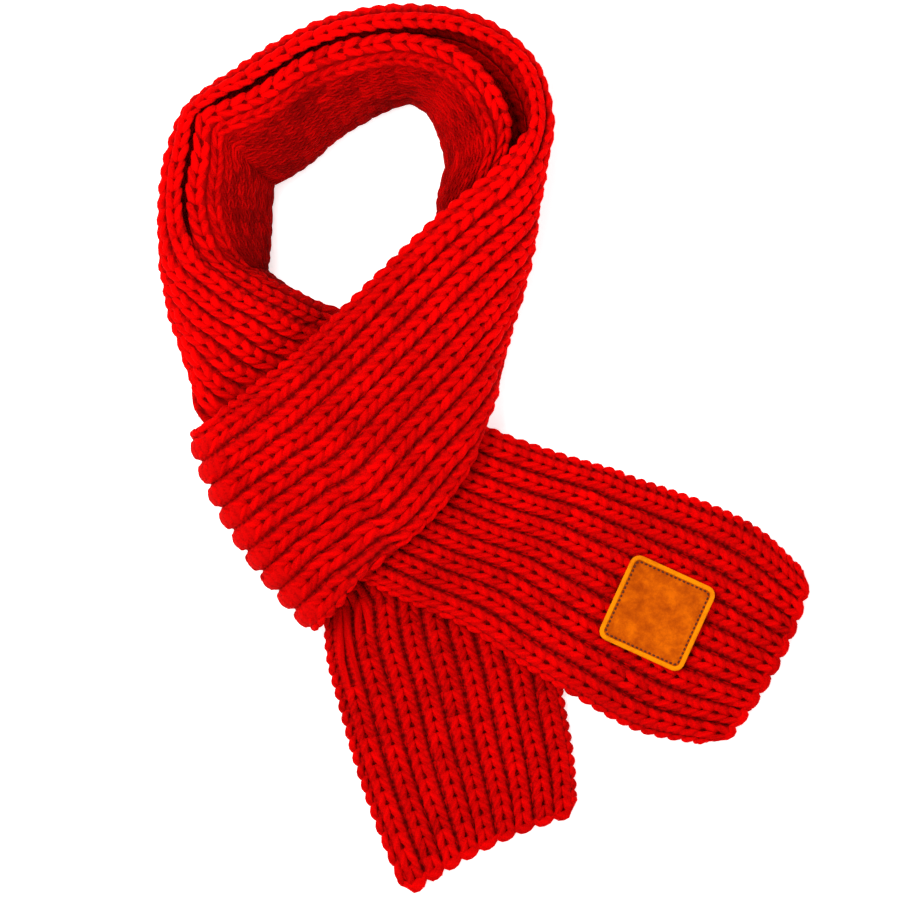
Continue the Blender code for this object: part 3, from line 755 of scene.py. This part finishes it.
def ground_cloth(stitches, name, material, fine_from=None, coarse_up_to=0):
    """The ground that the yarn lies on: a thin waved sheet from edge to edge of the stretch.

    Its texture coordinates say where in its shading a point is, and how many stitches up the stretch.
    """
    cloth = stitches.cloth
    up = np.arange(stitches.count * GROUND_STEPS + 1) / GROUND_STEPS
    rows = stitches.row_at(up)
    ribs, pitch, edge = (cloth.of_row(values, rows) for values in (cloth.ribs, cloth.pitch, cloth.edge))
    inset = GROUND_INSET - cloth.of_row(cloth.reaches, rows)
    low, high = (inset - edge) / pitch, ribs + (FAR_COLUMN - GROUND_INSET) / pitch
    share = np.linspace(0, 1, RIBS * GROUND_COLUMNS + 1)
    place = low[:, None] + share[None, :] * (high - low)[:, None]
    row = np.repeat(rows[:, None], len(share), axis=1)
    if stitches.end is not None:
        row = row + stitches.end(place, row)

    # Its height and its shading follow the ribs, then what is fuller, the seam and the finer side blend in.
    from_rib = np.abs(place - np.clip(np.floor(place), 0, None) - 0.5)
    fuller = cloth.of_row(cloth.fuller, rows)[:, None]
    shade_at = from_rib * (1 - fuller) + np.interp(from_rib, *zip(*FULL_SHADE)) * fuller
    wave = np.interp(from_rib, *zip(*GROUND_WAVE)) * (1 - fuller) + np.interp(from_rib, *zip(*FULL_WAVE)) * fuller
    seam = np.clip(1 - np.abs(place) / SEAM_WIDE, 0, 1)
    bridge = 0.5 + 0.5 * np.cos(2 * math.pi * (up - SEAM_BRIDGE))[:, None]
    wave = wave * (1 - seam) + seam * (SEAM_HIGH * bridge - SEAM_DEEP)
    shade_at = shade_at * (1 - seam) + seam * (0.5 - (0.5 - PLAIN_SHADE) * bridge)
    purl = GROUND_PURL * np.sin(2 * math.pi * up)[:, None] * np.abs(np.cos(math.pi * place))
    if fine_from is not None:
        start, rise = FINE_COMES
        fine = np.clip(start + rise * (place - fine_from), 0, 1) * np.clip(up - coarse_up_to, 0, 1)[:, None]
        wave = wave * (1 - fine) + FINE_GROUND * fine
        shade_at = shade_at * (1 - fine) + PLAIN_SHADE * fine
    points = cloth.at(row, place, wave + purl, TABLE_CLEARANCE + GROUND_THICK / 2)
    middle = cloth.at(row, place, 0.0)
    sides = np.cross(middle[1:, :-1] - middle[:-1, 1:], middle[1:, 1:] - middle[:-1, :-1])
    area = float(np.linalg.norm(sides, axis=2).sum()) / 2e6
    length = float(np.linalg.norm(np.diff(middle, axis=0), axis=2).sum(axis=0).max()) / 1000
    width = float(np.linalg.norm(np.diff(middle, axis=1), axis=2).sum(axis=1).max()) / 1000

    count, wide = points.shape[:2]
    index = np.arange(count * wide).reshape(count, wide)
    faces = np.stack([index[:-1, :-1], index[:-1, 1:], index[1:, 1:], index[1:, :-1]], axis=-1).reshape(-1, 4)
    metres = to_metres(points).reshape(-1, 3)
    first = metres[faces[0]]
    out = np.cross(first[1] - first[0], first[2] - first[0])
    ribbed = to_metres(cloth.at(row[:1, :1], place[:1, :1], THICK / 2)).reshape(3) - first[0]
    if out @ ribbed < 0:
        faces = faces[:, ::-1]
    data = bpy.data.meshes.new(name)
    data.from_pydata(metres.tolist(), [], faces.tolist())
    corner_uv = np.stack([shade_at, np.broadcast_to(up[:, None], (count, wide))], -1)
    loops = np.zeros(len(data.loops), int)
    data.loops.foreach_get("vertex_index", loops)
    data.uv_layers.new(name="strip").data.foreach_set("uv", corner_uv.reshape(-1, 2)[loops].ravel())
    made = finished(name, data, material)
    thicken = made.modifiers.new("thickness", "SOLIDIFY")
    thicken.thickness = GROUND_THICK / 1000
    thicken.offset = 0.0
    apply_modifiers(made)
    made.data.shade_smooth()
    return made, (width, length), area


# ---------------------------------------------------------------- finishes

class Finish:
    """A material that is put together node by node round its shader, and what the shader is fed."""

    def __init__(self, name):
        self.material = bpy.data.materials.new(name)
        self.material.use_nodes = True
        self.nodes, self.links = self.material.node_tree.nodes, self.material.node_tree.links
        self.sockets = self.nodes["Principled BSDF"].inputs

    def node(self, kind, inputs=(), **settings):
        """A node of this kind. Each of its inputs is given a value or the output of another node."""
        made = self.nodes.new("ShaderNode" + kind)
        for key, value in settings.items():
            setattr(made, key, value)
        for key, value in dict(inputs).items():
            if isinstance(value, bpy.types.NodeSocket):
                self.links.new(value, made.inputs[key])
            else:
                made.inputs[key].default_value = value
        return made

    def maths(self, operation, *values):
        return self.node("Math", dict(enumerate(values)), operation=operation).outputs[0]

    def noise(self, place, scale, **settings):
        return self.node("TexNoise", {"Vector": place, "Scale": scale, **settings}).outputs["Fac"]

    def place(self):
        """Where a point is in the piece's own coordinates."""
        return self.node("TexCoord").outputs["Object"]

    def along(self, uv_map):
        """The two texture coordinates of a point."""
        parts = self.node("SeparateXYZ", {"Vector": self.node("UVMap", uv_map=uv_map).outputs["UV"]}).outputs
        return parts["X"], parts["Y"]

    def colour(self, share, first, last, *between):
        """Colours the surface by a ramp, whose stops are a place from 0 to 1 and a colour each."""
        ramp = self.node("ValToRGB", {"Fac": share})
        stops = ramp.color_ramp.elements
        for stop, (at, colour) in zip(stops, (first, last)):
            stop.position, stop.color = at, colour
        for at, colour in between:
            stops.new(at).color = colour
        self.feed("Base Color", ramp.outputs["Color"])
        return ramp.outputs["Color"]

    def feed(self, socket, value):
        self.links.new(value, self.sockets[socket])

    def bumps(self, height, strength, distance):
        bump = self.node("Bump", {"Height": height, "Strength": strength, "Distance": distance})
        self.feed("Normal", bump.outputs["Normal"])

    def plain(self, **values):
        """Sets what is the same all over the surface."""
        for name, value in values.items():
            self.sockets[name.replace("_", " ")].default_value = value


def yarn_finish(name, colour, deep, shade, pale):
    """Soft spun yarn: plies that wind round each strand, stray fibres, and a red of its own to each stitch, with the
    painted light and shade that its tone carries.
    """
    finish = Finish(name)
    maths, place = finish.maths, finish.place()
    round_it, along_it = finish.along("strand")
    turns = maths("ADD", maths("MULTIPLY", round_it, PLIES), maths("MULTIPLY", along_it, PLY_TURNS))
    ply = maths("SINE", maths("MULTIPLY", turns, 2 * math.pi))
    fuzz = finish.noise(place, FUZZ_SCALE, **FUZZ)
    patch = finish.noise(place, PATCH_SCALE)
    tone = finish.node("Attribute", attribute_name="tone").outputs["Fac"]

    mixed = maths("MULTIPLY_ADD", ply, PLY_TONE, 0.5)
    mixed = maths("MULTIPLY_ADD", tone, STITCH_TONE, mixed)
    mixed = maths("MULTIPLY_ADD", maths("SUBTRACT", fuzz, 0.5), FUZZ_TONE, mixed)
    mixed = maths("MULTIPLY_ADD", maths("SUBTRACT", patch, 0.5), PATCH_TONE, mixed)
    # the darkest stop is painted shade; the deep and the pale stops are partly plies and fibres, and partly painted
    # shade and painted light
    finish.colour(mixed, (0.0, shade), (1.0, pale), (0.25, deep), (0.7, colour))

    height = maths("MULTIPLY_ADD", fuzz, FUZZ_HEIGHT, mixed)
    finish.bumps(maths("MULTIPLY_ADD", ply, PLY_HEIGHT, height), strength=0.55, distance=0.00035)
    rough = finish.node("MapRange", {"Value": fuzz, "To Min": 0.82, "To Max": 0.98})
    finish.feed("Roughness", rough.outputs["Result"])
    finish.plain(Specular_IOR_Level=0.03)
    return finish.material


def ground_finish(name, colour, deep):
    """The yarn that runs from rib to rib below the stitches: short strands, with painted shade that makes it deepest
    in the grooves and the holes.
    """
    finish = Finish(name)
    maths = finish.maths
    shade_at, up = finish.along("strip")
    strands = maths("SINE", maths("MULTIPLY", up, 4 * math.pi))
    fuzz = finish.noise(finish.place(), GROUND_FUZZ_SCALE, **FUZZ)
    groove = maths("COSINE", maths("MULTIPLY", shade_at, 4 * math.pi))
    mixed = maths("MULTIPLY_ADD", strands, STRAND_TONE, fuzz)
    mixed = maths("MULTIPLY_ADD", groove, -GROOVE_SHADE, mixed)
    finish.colour(mixed, (0.25, deep), (0.8, colour))
    finish.bumps(mixed, strength=0.6, distance=0.0006)
    finish.plain(Roughness=0.95, Specular_IOR_Level=0.05)
    return finish.material


def leather_finish(name, colour, deep, pale):
    """Mottled tan leather with a fine grain."""
    finish = Finish(name)
    place = finish.place()
    blotch = finish.noise(place, BLOTCH_SCALE, **BLOTCHES)
    finish.colour(blotch, (0.34, deep), (0.68, pale), (0.5, colour))
    grain = finish.node("TexVoronoi", {"Vector": place, "Scale": GRAIN_SCALE}).outputs["Distance"]
    finish.bumps(finish.maths("MULTIPLY_ADD", blotch, BLOTCH_HEIGHT, grain), strength=0.4, distance=0.0002)
    finish.plain(Roughness=0.6, Specular_IOR_Level=0.03)
    return finish.material


def floor_finish(name, colour):
    """An even, pale floor that glows a little."""
    finish = Finish(name)
    pale = (*(min(1, c * FLOOR_PALER) for c in colour[:3]), 1)
    shown = finish.colour(finish.noise(finish.place(), FLOOR_SCALE), (0.0, (*colour[:3], 1)), (1.0, pale))
    finish.feed("Emission Color", shown)
    finish.plain(Roughness=0.9, Specular_IOR_Level=0.0, Emission_Strength=FLOOR_GLOW)
    return finish.material


# ---------------------------------------------------------------- the stretches of the strip

def neck_run():
    """The loop's outer layer and the stretch across the front, which are one run of cloth, and where they join."""
    turn = turn_sections()
    loop = NECK_OUTER + FRONT_WRAP
    sections = [arched_section(s) for s in loop] + turn
    rows = cloth_rows(sections, [s.ribs for s in loop] + [RIBS] * len(turn))[0]
    join, turn_at = row_of(rows, sections[len(NECK_OUTER) - 1]), row_of(rows, sections[len(loop)])
    every = np.arange(len(rows))
    opens = np.interp(every, (join - OPENING_ROWS, join + OPENING_ROWS), (ROLLED_COLUMN, EDGE_COLUMN))
    fuller = np.interp(every, (turn_at - FULLER_ROWS, turn_at), (0.0, 1.0))
    shut = shut_rows(rows, sections)
    edge = opens * (1 - shut) + shut * SHUT_COLUMN
    return Cloth(rows, None, -1, edge, shut * SHUT_REACH, fuller), join


def row_of(rows, section):
    """The row whose first point is nearest to a section's."""
    return int(np.argmin(np.linalg.norm(rows[:, 0] - section[0], axis=1)))


def shut_rows(rows, sections):
    """1 in the rows where the two layers of the loop lie edge to edge, and 0 where they stand apart."""
    last, first_open = (row_of(rows, sections[i]) for i in SHUT_STATIONS)
    return np.interp(np.arange(len(rows)), (last, first_open), (1.0, 0.0))


def inner_layer():
    sections = [arched_section(s) for s in NECK_INNER]
    rows = cloth_rows(sections, [s.ribs for s in NECK_INNER])[0]
    shut = shut_rows(rows, sections)
    edge = ROLLED_COLUMN * (1 - shut) + shut * SHUT_COLUMN
    return Cloth(rows, None, 1, edge, shut * SHUT_REACH)


def right_tail_cloth():
    return Cloth(*cloth_rows(RIGHT_TAIL, [RIBS] * len(RIGHT_TAIL)), 1)


def lower_tail_cloth():
    fan = fan_sections() + LOWER_TAIL[:1]
    hidden, shown = (cloth_rows(each, [RIBS] * len(each))[0] for each in (fan, LOWER_TAIL))
    rows = np.concatenate([hidden[:-1], shown])
    return Cloth(rows, [RIBS] * len(rows), -1)


def cast_off_end(cloth, corners):
    """How an end of the knitting is shaped: a scallop to each rib, and two corners, over the last rows."""
    step = float(np.diff(cloth.length_at(0.5))[-1])

    def end(place, row):
        scallop = SCALLOP * np.sqrt(np.abs(np.sin(math.pi * np.clip(place, 0, RIBS))))
        from_side = np.minimum(place, RIBS - place) * RIB_PITCH
        radius = np.where(place < RIBS / 2, *corners)
        inside = np.clip(radius - from_side, 0, radius)
        corner = radius - np.sqrt(radius**2 - inside**2 + 1e-9)
        fade = np.clip((row - (cloth.last - END_ROWS)) / END_ROWS, 0, None)
        return (scallop + END_REACH - corner) / step * np.minimum(fade, 1.0) ** 2

    return end


def dress(node, stitches, painted_light_and_shade=(0, 0), ground="ground_deep", edges=(True, True), chain_at=None,
          fine_from=None, coarse_up_to=0):
    """Makes one stretch: its ground, which stands for the CAD node, and the yarn on both of its faces."""
    colours, ready = bpy.context.scene.scarf_colours, bpy.data.materials
    yarn = ready.get("red_yarn_finish") or yarn_finish(
        "red_yarn_finish", colours.yarn, colours.yarn_deep_and_painted_shade, colours.yarn_painted_shade, colours.yarn_pale_and_painted_light)
    # the ground's deep colour is painted shade in its grooves and holes, and it is lighter on the loop and the wrap,
    # where they are lit
    if fine_from is None:
        finish = f"red_{ground}_finish"
        below = ready.get(finish) or ground_finish(finish, colours.ground, getattr(colours, ground))
    else:
        # the inner wall's ground takes darker colours: painted shade for the inside of the loop
        below = ground_finish("red_wall_finish", colours.wall, colours.wall_deep)
    thick = bpy.context.scene.scarf_sizes.yarn * 1000
    shapes = (("knit_leg", KNIT_LEG), ("edge_loop", EDGE_LOOP), ("chain_loop", CHAIN_LOOP))
    strands = [Template(make_strand(name, rings, thick)) for name, rings in shapes]
    # the front face's yarn takes the stretch's painted light and shade, and the back face's yarn takes a painted
    # shade of its own
    front = knit_face(stitches, node + "_ribs", 1, strands, yarn, edges, chain_at, fine_from, painted_light_and_shade, coarse_up_to)
    back = knit_face(stitches, node + "_back_ribs", -1, strands, yarn, (False, False), chain_at, painted_light_and_shade=BACK_PAINTED_SHADE)
    sheet, flat, area = ground_cloth(stitches, node + "_cloth", below, fine_from, coarse_up_to)
    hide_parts(node)


class SCARF_OT_neck_inner(Operator):
    """Knit the layer of the loop that faces the neck"""
    bl_idname = "scarf.neck_inner"
    bl_label = "Loop, inner layer"

    def execute(self, context):
        cloth = inner_layer()
        stitches = Stitches(cloth, (0, cloth.last), LOOP_STITCH, LOOP_SPREAD, even_at=0.11, apex_first=True, seed=11)
        # painted shade at the start of the inner layer, and painted light further on
        dress("neck_inner", stitches, painted_light_and_shade=(-2.6, 1.4), edges=(True, False), fine_from=1,
              coarse_up_to=COARSE_UP_TO)
        return {"FINISHED"}


class SCARF_OT_neck_outer_and_wrap(Operator):
    """Knit the outer layer of the loop, and the stretch that goes on from it across the front"""
    bl_idname = "scarf.neck_outer_and_wrap"
    bl_label = "Loop, outer layer and wrap"

    def execute(self, context):
        cloth, join = neck_run()
        outer = Stitches(cloth, (0, join), LOOP_STITCH, LOOP_SPREAD, even_at=0.1, apex_first=True, seed=12)
        # painted light on the outer layer and the wrap, whose ground takes the lighter painted shade
        dress("neck_outer", outer, painted_light_and_shade=(2, 2), ground="ground_lit")
        wrap = Stitches(cloth, (join, cloth.last), LOOP_STITCH, LOOP_SPREAD, even_at=0.4, apex_first=True, seed=13)
        dress("front_wrap", wrap, painted_light_and_shade=(4, 0), ground="ground_lit")
        return {"FINISHED"}


class SCARF_OT_right_tail(Operator):
    """Knit the tail that lies out to the right, with its cast-off end"""
    bl_idname = "scarf.right_tail"
    bl_label = "Right tail"

    def execute(self, context):
        cloth = right_tail_cloth()
        stitches = Stitches(cloth, (0, cloth.last), RIGHT_STITCH, TAIL_SPREAD, even_at=0.5, apex_first=False, seed=14)
        stitches.end = cast_off_end(cloth, RIGHT_CORNERS)
        # painted shade on the tail's yarn
        dress("right_tail", stitches, chain_at=stitches.count, painted_light_and_shade=(-1.5, 0))
        return {"FINISHED"}


class SCARF_OT_lower_tail(Operator):
    """Knit the tail that lies down the table, with the hidden stretch that leads to it"""
    bl_idname = "scarf.lower_tail"
    bl_label = "Lower tail"

    def execute(self, context):
        cloth = lower_tail_cloth()
        stitches = Stitches(cloth, (0, cloth.last), LOWER_STITCH, TAIL_SPREAD, even_at=0.6, apex_first=True, seed=15)
        stitches.end = cast_off_end(cloth, LOWER_CORNERS)
        # painted shade on the tail's yarn
        dress("lower_tail", stitches, chain_at=stitches.count, painted_light_and_shade=(-1.5, -1))
        return {"FINISHED"}


# ---------------------------------------------------------------- the label

def rounded(a, b, half, radius):
    """A place in a square, each way from -1 to 1, as a place in millimetres in a square with round corners."""
    size = np.maximum(np.abs(a), np.abs(b))
    safe = np.maximum(size, 1e-9)
    x, y = a / safe * half, b / safe * half
    core_x, core_y = np.clip(x, radius - half, half - radius), np.clip(y, radius - half, half - radius)
    dx, dy = x - core_x, y - core_y
    length = np.hypot(dx, dy)
    grow = np.where(length > radius, radius / np.maximum(length, 1e-9), 1.0)
    return (core_x + dx * grow) * size, (core_y + dy * grow) * size


class LabelPlace:
    """Where the label lies on the right tail, level with the cloth round each of its points."""

    def __init__(self):
        plain = right_tail_cloth().plain
        self.places = plain[..., :2].reshape(-1, 2)
        self.levels = plain[..., 2].ravel()
        turn = math.radians(LABEL_TURN)
        self.across = np.array((math.cos(turn), math.sin(turn)))
        self.up = np.array((math.sin(turn), -math.cos(turn)))

    def at(self, x, y, height):
        """Table points for places on the label, across and up it from its middle, and heights above the ribs."""
        points = LABEL_MIDDLE + np.outer(x, self.across) + np.outer(y, self.up)
        level = np.empty(len(points))
        for i, point in enumerate(points):
            share = np.exp(-((self.places - point) ** 2).sum(axis=1) / (2 * LABEL_SPREAD**2))
            level[i] = (share * self.levels).sum() / share.sum()
        return np.column_stack((points, level + THICK + LABEL_GAP + height))


def settle_on_cloth(obj, place):
    """Lays a piece that was made flat in millimetres on the tail."""
    points = np.array([v.co for v in obj.data.vertices])
    laid = to_metres(place.at(points[:, 0], points[:, 1], points[:, 2]))
    obj.data.vertices.foreach_set("co", laid.ravel())
    obj.data.update()
    deselect_all()
    bpy.context.view_layer.objects.active = obj
    obj.select_set(True)
    bpy.ops.object.mode_set(mode="EDIT")
    bpy.ops.mesh.select_all(action="SELECT")
    bpy.ops.mesh.normals_make_consistent(inside=False)
    bpy.ops.object.mode_set(mode="OBJECT")


def make_leather(place, side, material):
    deselect_all()
    bpy.ops.mesh.primitive_grid_add(x_subdivisions=LEATHER_CELLS, y_subdivisions=LEATHER_CELLS, size=2.0,
                                    location=(0, 0, 0))
    leather = bpy.context.object
    leather.name = "label_leather"
    points = np.array([v.co for v in leather.data.vertices])
    x, y = rounded(points[:, 0], points[:, 1], side / 2 - LEATHER_INSET, LABEL_CORNER - LEATHER_INSET)
    crown = LEATHER_CROWN * (1 - np.maximum(np.abs(points[:, 0]), np.abs(points[:, 1])) ** 4)
    leather.data.vertices.foreach_set("co", np.stack([x, y, crown + LEATHER_UP], axis=-1).ravel())
    thicken = leather.modifiers.new("thickness", "SOLIDIFY")
    thicken.thickness = LEATHER_THICK
    thicken.offset = -1.0
    apply_modifiers(leather)
    settle_on_cloth(leather, place)
    leather.data.materials.append(material)
    leather.data.shade_smooth()
    return leather


def label_line(turn, half, radius):
    """Places on a square line with round corners, at shares of the way round it that are counted from 0 to 8."""
    a = np.interp(turn, [0, 1, 3, 5, 7, 8], [1, 1, -1, -1, 1, 1])
    b = np.interp(turn, [0, 1, 3, 5, 7, 8], [0, 1, 1, -1, -1, 0])
    return np.stack(rounded(a, b, half, radius), axis=-1)


def make_rim(place, side, material):
    """The raised edge: a round-topped band that follows the label's outline."""
    line = label_line(np.arange(RIM_POINTS) / RIM_POINTS * 8, side / 2 - RIM_WIDE / 2, LABEL_CORNER - RIM_WIDE / 2)
    ahead = np.roll(line, -1, axis=0) - np.roll(line, 1, axis=0)
    ahead /= np.linalg.norm(ahead, axis=1, keepdims=True)
    out = np.stack([ahead[:, 1], -ahead[:, 0]], axis=-1)
    angle = np.arange(RIM_SIDES) / RIM_SIDES * 2 * math.pi
    wide, high = (np.sign(each) * np.abs(each) ** RIM_ROUND for each in (np.cos(angle), np.sin(angle)))
    points = np.empty((RIM_POINTS, RIM_SIDES, 3))
    points[..., :2] = line[:, None] + out[:, None] * (wide * RIM_WIDE / 2)[None, :, None]
    points[..., 2] = (high * RIM_HIGH / 2 + RIM_HIGH / 2)[None, :]
    index = np.arange(RIM_POINTS * RIM_SIDES).reshape(RIM_POINTS, RIM_SIDES)
    ahead_index, round_index = np.roll(index, -1, axis=0), np.roll(index, -1, axis=1)
    faces = np.stack([index, round_index, np.roll(ahead_index, -1, axis=1), ahead_index], axis=-1).reshape(-1, 4)
    data = bpy.data.meshes.new("label_rim")
    data.from_pydata(points.reshape(-1, 3).tolist(), [], faces.tolist())
    rim = bpy.data.objects.new("label_rim", data)
    bpy.context.scene.collection.objects.link(rim)
    settle_on_cloth(rim, place)
    rim.data.materials.append(material)
    rim.data.shade_smooth()
    return rim


def make_seam(place, side, thread):
    """The dashed line of sewing just inside the raised edge."""
    template = Template(make_strand("seam_stitch", SEAM_STITCH, 1.0))
    side_way, above, up = template.points.T
    turn = np.linspace(0, 8, SEAM_POINTS)
    line = label_line(turn, side / 2 - RIM_WIDE - SEAM_INSET, LABEL_CORNER - RIM_WIDE - SEAM_CORNER)
    length = np.concatenate([[0], np.cumsum(np.linalg.norm(np.diff(line, axis=0), axis=1))])

    def on_line(where):
        return np.interp(where, length, line[:, 0]), np.interp(where, length, line[:, 1])

    count = int(round(length[-1] / SEAM_STEP))
    copies = []
    for i in range(count):
        where = (i + up * SEAM_SHARE) / count * length[-1]
        (px, py), (qx, qy) = on_line(where), on_line(where + SEAM_AHEAD)
        dx, dy = qx - px, qy - py
        norm = np.maximum(np.hypot(dx, dy), 1e-9)
        px, py = px + dy / norm * side_way, py - dx / norm * side_way
        copies.append(to_metres(place.at(px, py, SEAM_UP + above)))
    return copies_of("label_stitching", template, np.array(copies), np.zeros(count), thread)


class SCARF_OT_label(Operator):
    """Make the sewn label on the right tail: leather, raised edge and stitching, with a bare face"""
    bl_idname = "scarf.label"
    bl_label = "Label"

    def execute(self, context):
        colours = context.scene.scarf_colours
        side = context.scene.scarf_sizes.label * 1000
        place = LabelPlace()
        tan = leather_finish("label_leather_finish", colours.leather, colours.leather_deep, colours.leather_pale)
        rim_finish = leather_finish("label_rim_finish", colours.rim, colours.rim_deep, colours.rim)
        thread = leather_finish("label_thread_finish", colours.thread, colours.thread, colours.thread)
        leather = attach(make_leather(place, side, tan), "root")
        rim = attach(make_rim(place, side, rim_finish), "root")
        seam = make_seam(place, side, thread)
        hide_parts("label_patch")
        return {"FINISHED"}


# ---------------------------------------------------------------- the studio

class SCARF_OT_studio(Operator):
    """Set the pale floor, the soft lights and the camera that looks straight down"""
    bl_idname = "scarf.studio"
    bl_label = "Studio"

    def execute(self, context):
        scene = context.scene
        deselect_all()
        bpy.ops.mesh.primitive_plane_add(size=FLOOR_SIDE, location=(0, 0, 0))
        floor = context.object
        floor.name = "floor"
        floor.data.materials.append(floor_finish("floor_finish", scene.scarf_colours.floor))

        world = bpy.data.worlds.new("studio")
        scene.world = world
        world.use_nodes = True
        world.node_tree.nodes["Background"].inputs["Color"].default_value = (1, 1, 1, 1)
        tree = world.node_tree
        parts = tree.nodes.new("ShaderNodeSeparateXYZ")
        tree.links.new(tree.nodes.new("ShaderNodeTexCoord").outputs["Generated"], parts.inputs[0])
        strength = tree.nodes.new("ShaderNodeMapRange")
        tree.links.new(parts.outputs["Z"], strength.inputs["Value"])
        strength.inputs["To Min"].default_value, strength.inputs["To Max"].default_value = WORLD_LIGHT
        tree.links.new(strength.outputs["Result"], tree.nodes["Background"].inputs["Strength"])
        for name, place, size, power in LAMPS:
            lamp = bpy.data.lights.new(name, "AREA")
            lamp.shape, lamp.size, lamp.energy = "DISK", size, power
            made = bpy.data.objects.new(name, lamp)
            made.location = place
            made.rotation_euler = (-Vector(place)).to_track_quat("-Z", "Y").to_euler()
            scene.collection.objects.link(made)

        camera = bpy.data.cameras.new("camera")
        camera.lens = CAMERA_LENS
        camera.sensor_width = SENSOR
        made = bpy.data.objects.new("camera", camera)
        distance = FRAME_WIDE * CAMERA_LENS / SENSOR
        made.location = (*FRAME_MIDDLE, distance)
        camera.clip_start, camera.clip_end = CLIP_START, distance * CLIP_END
        scene.collection.objects.link(made)
        scene.camera = made
        scene.view_settings.view_transform = "Standard"
        scene.view_settings.look = "None"
        return {"FINISHED"}


# ---------------------------------------------------------------- the add-on

class ScarfSizes(PropertyGroup):
    yarn: FloatProperty(name="Yarn", description="Thickness of the yarn in a stitch",
                        default=0.0047, min=0.002, max=0.006, subtype="DISTANCE", unit="LENGTH")
    label: FloatProperty(name="Label", description="Side of the square label",
                         default=0.046, min=0.02, max=0.06, subtype="DISTANCE", unit="LENGTH")


def colour_property(name, description, default):
    return FloatVectorProperty(name=name, description=description, default=default, size=4, min=0, max=1,
                               subtype="COLOR")


class ScarfColours(PropertyGroup):
    # The yarn's ramp: its shade is painted shade for the narrow ribs of the inner wall, its deep red is partly plies
    # and partly painted shade, and its pale red is partly stray fibres and partly painted light.
    yarn: colour_property("Yarn", "The yarn in the light", (0.76, 0.0, 0.0, 1))
    yarn_deep_and_painted_shade: colour_property("Yarn, deep", "The yarn between its plies", (0.42, 0.0, 0.0, 1))
    yarn_pale_and_painted_light: colour_property("Yarn, pale", "The palest of the yarn", (0.88, 0.0, 0.0, 1))
    yarn_painted_shade: colour_property("Yarn, shade", "The yarn on the cloth's finer side", (0.17, 0.0, 0.0, 1))
    ground: colour_property("Ground", "The yarn below the stitches", (0.58, 0.0, 0.0, 1))
    # painted shade: the inner wall's ground, darker than the rest
    wall: colour_property("Wall", "The yarn below the cloth's finer side", (0.34, 0.0, 0.0, 1))
    wall_deep: colour_property("Wall, deep", "The gaps in that yarn", (0.20, 0.0, 0.0, 1))
    # painted shade in the grooves and holes of the ground, with a lighter copy where the loop and the wrap are lit
    ground_deep: colour_property("Ground, deep", "The gaps in the yarn below the stitches", (0.10, 0.0, 0.0, 1))
    ground_lit: colour_property("Ground, lit", "The same gaps on the loop and the wrap", (0.15, 0.0, 0.0, 1))
    leather: colour_property("Leather", "The label's face", (0.53, 0.080, 0.0, 1))
    leather_deep: colour_property("Leather, deep", "The dark blotches of the face", (0.38, 0.05, 0.0, 1))
    leather_pale: colour_property("Leather, pale", "The pale blotches of the face", (0.72, 0.13, 0.0, 1))
    rim: colour_property("Raised edge", "The label's raised edge", (0.85, 0.24, 0.0, 1))
    rim_deep: colour_property("Raised edge, deep", "The darker parts of that edge", (0.68, 0.16, 0.0, 1))
    thread: colour_property("Thread", "The sewing round the label", (0.10, 0.03, 0.015, 1))
    floor: colour_property("Floor", "The studio floor", (0.93, 0.93, 0.93, 1))


class SCARF_PT_scarf(Panel):
    """The sizes and colours of the scarf, and its pieces in the order they are made"""
    bl_idname = "SCARF_PT_scarf"
    bl_label = "Rib-knit scarf"
    bl_space_type = "VIEW_3D"
    bl_region_type = "UI"
    bl_category = "Scarf"

    def draw(self, context):
        layout = self.layout
        for group in (context.scene.scarf_sizes, context.scene.scarf_colours):
            for name in group.__annotations__:
                layout.prop(group, name)
        for maker in MAKERS:
            layout.operator(maker.bl_idname)


MAKERS = (
    SCARF_OT_studio,
    SCARF_OT_neck_inner,
    SCARF_OT_neck_outer_and_wrap,
    SCARF_OT_right_tail,
    SCARF_OT_lower_tail,
    SCARF_OT_label,
)
CLASSES = (ScarfSizes, ScarfColours, *MAKERS, SCARF_PT_scarf)


def register():
    for cls in CLASSES:
        bpy.utils.register_class(cls)
    bpy.types.Scene.scarf_sizes = PointerProperty(type=ScarfSizes)
    bpy.types.Scene.scarf_colours = PointerProperty(type=ScarfColours)


def unregister():
    del bpy.types.Scene.scarf_colours
    del bpy.types.Scene.scarf_sizes
    for cls in reversed(CLASSES):
        bpy.utils.unregister_class(cls)


def main():
    register()
    bpy.ops.scarf.studio()
    bpy.ops.scarf.neck_inner()
    bpy.ops.scarf.neck_outer_and_wrap()
    bpy.ops.scarf.right_tail()
    bpy.ops.scarf.lower_tail()
    bpy.ops.scarf.label()


if __name__ == "__main__":
    main()
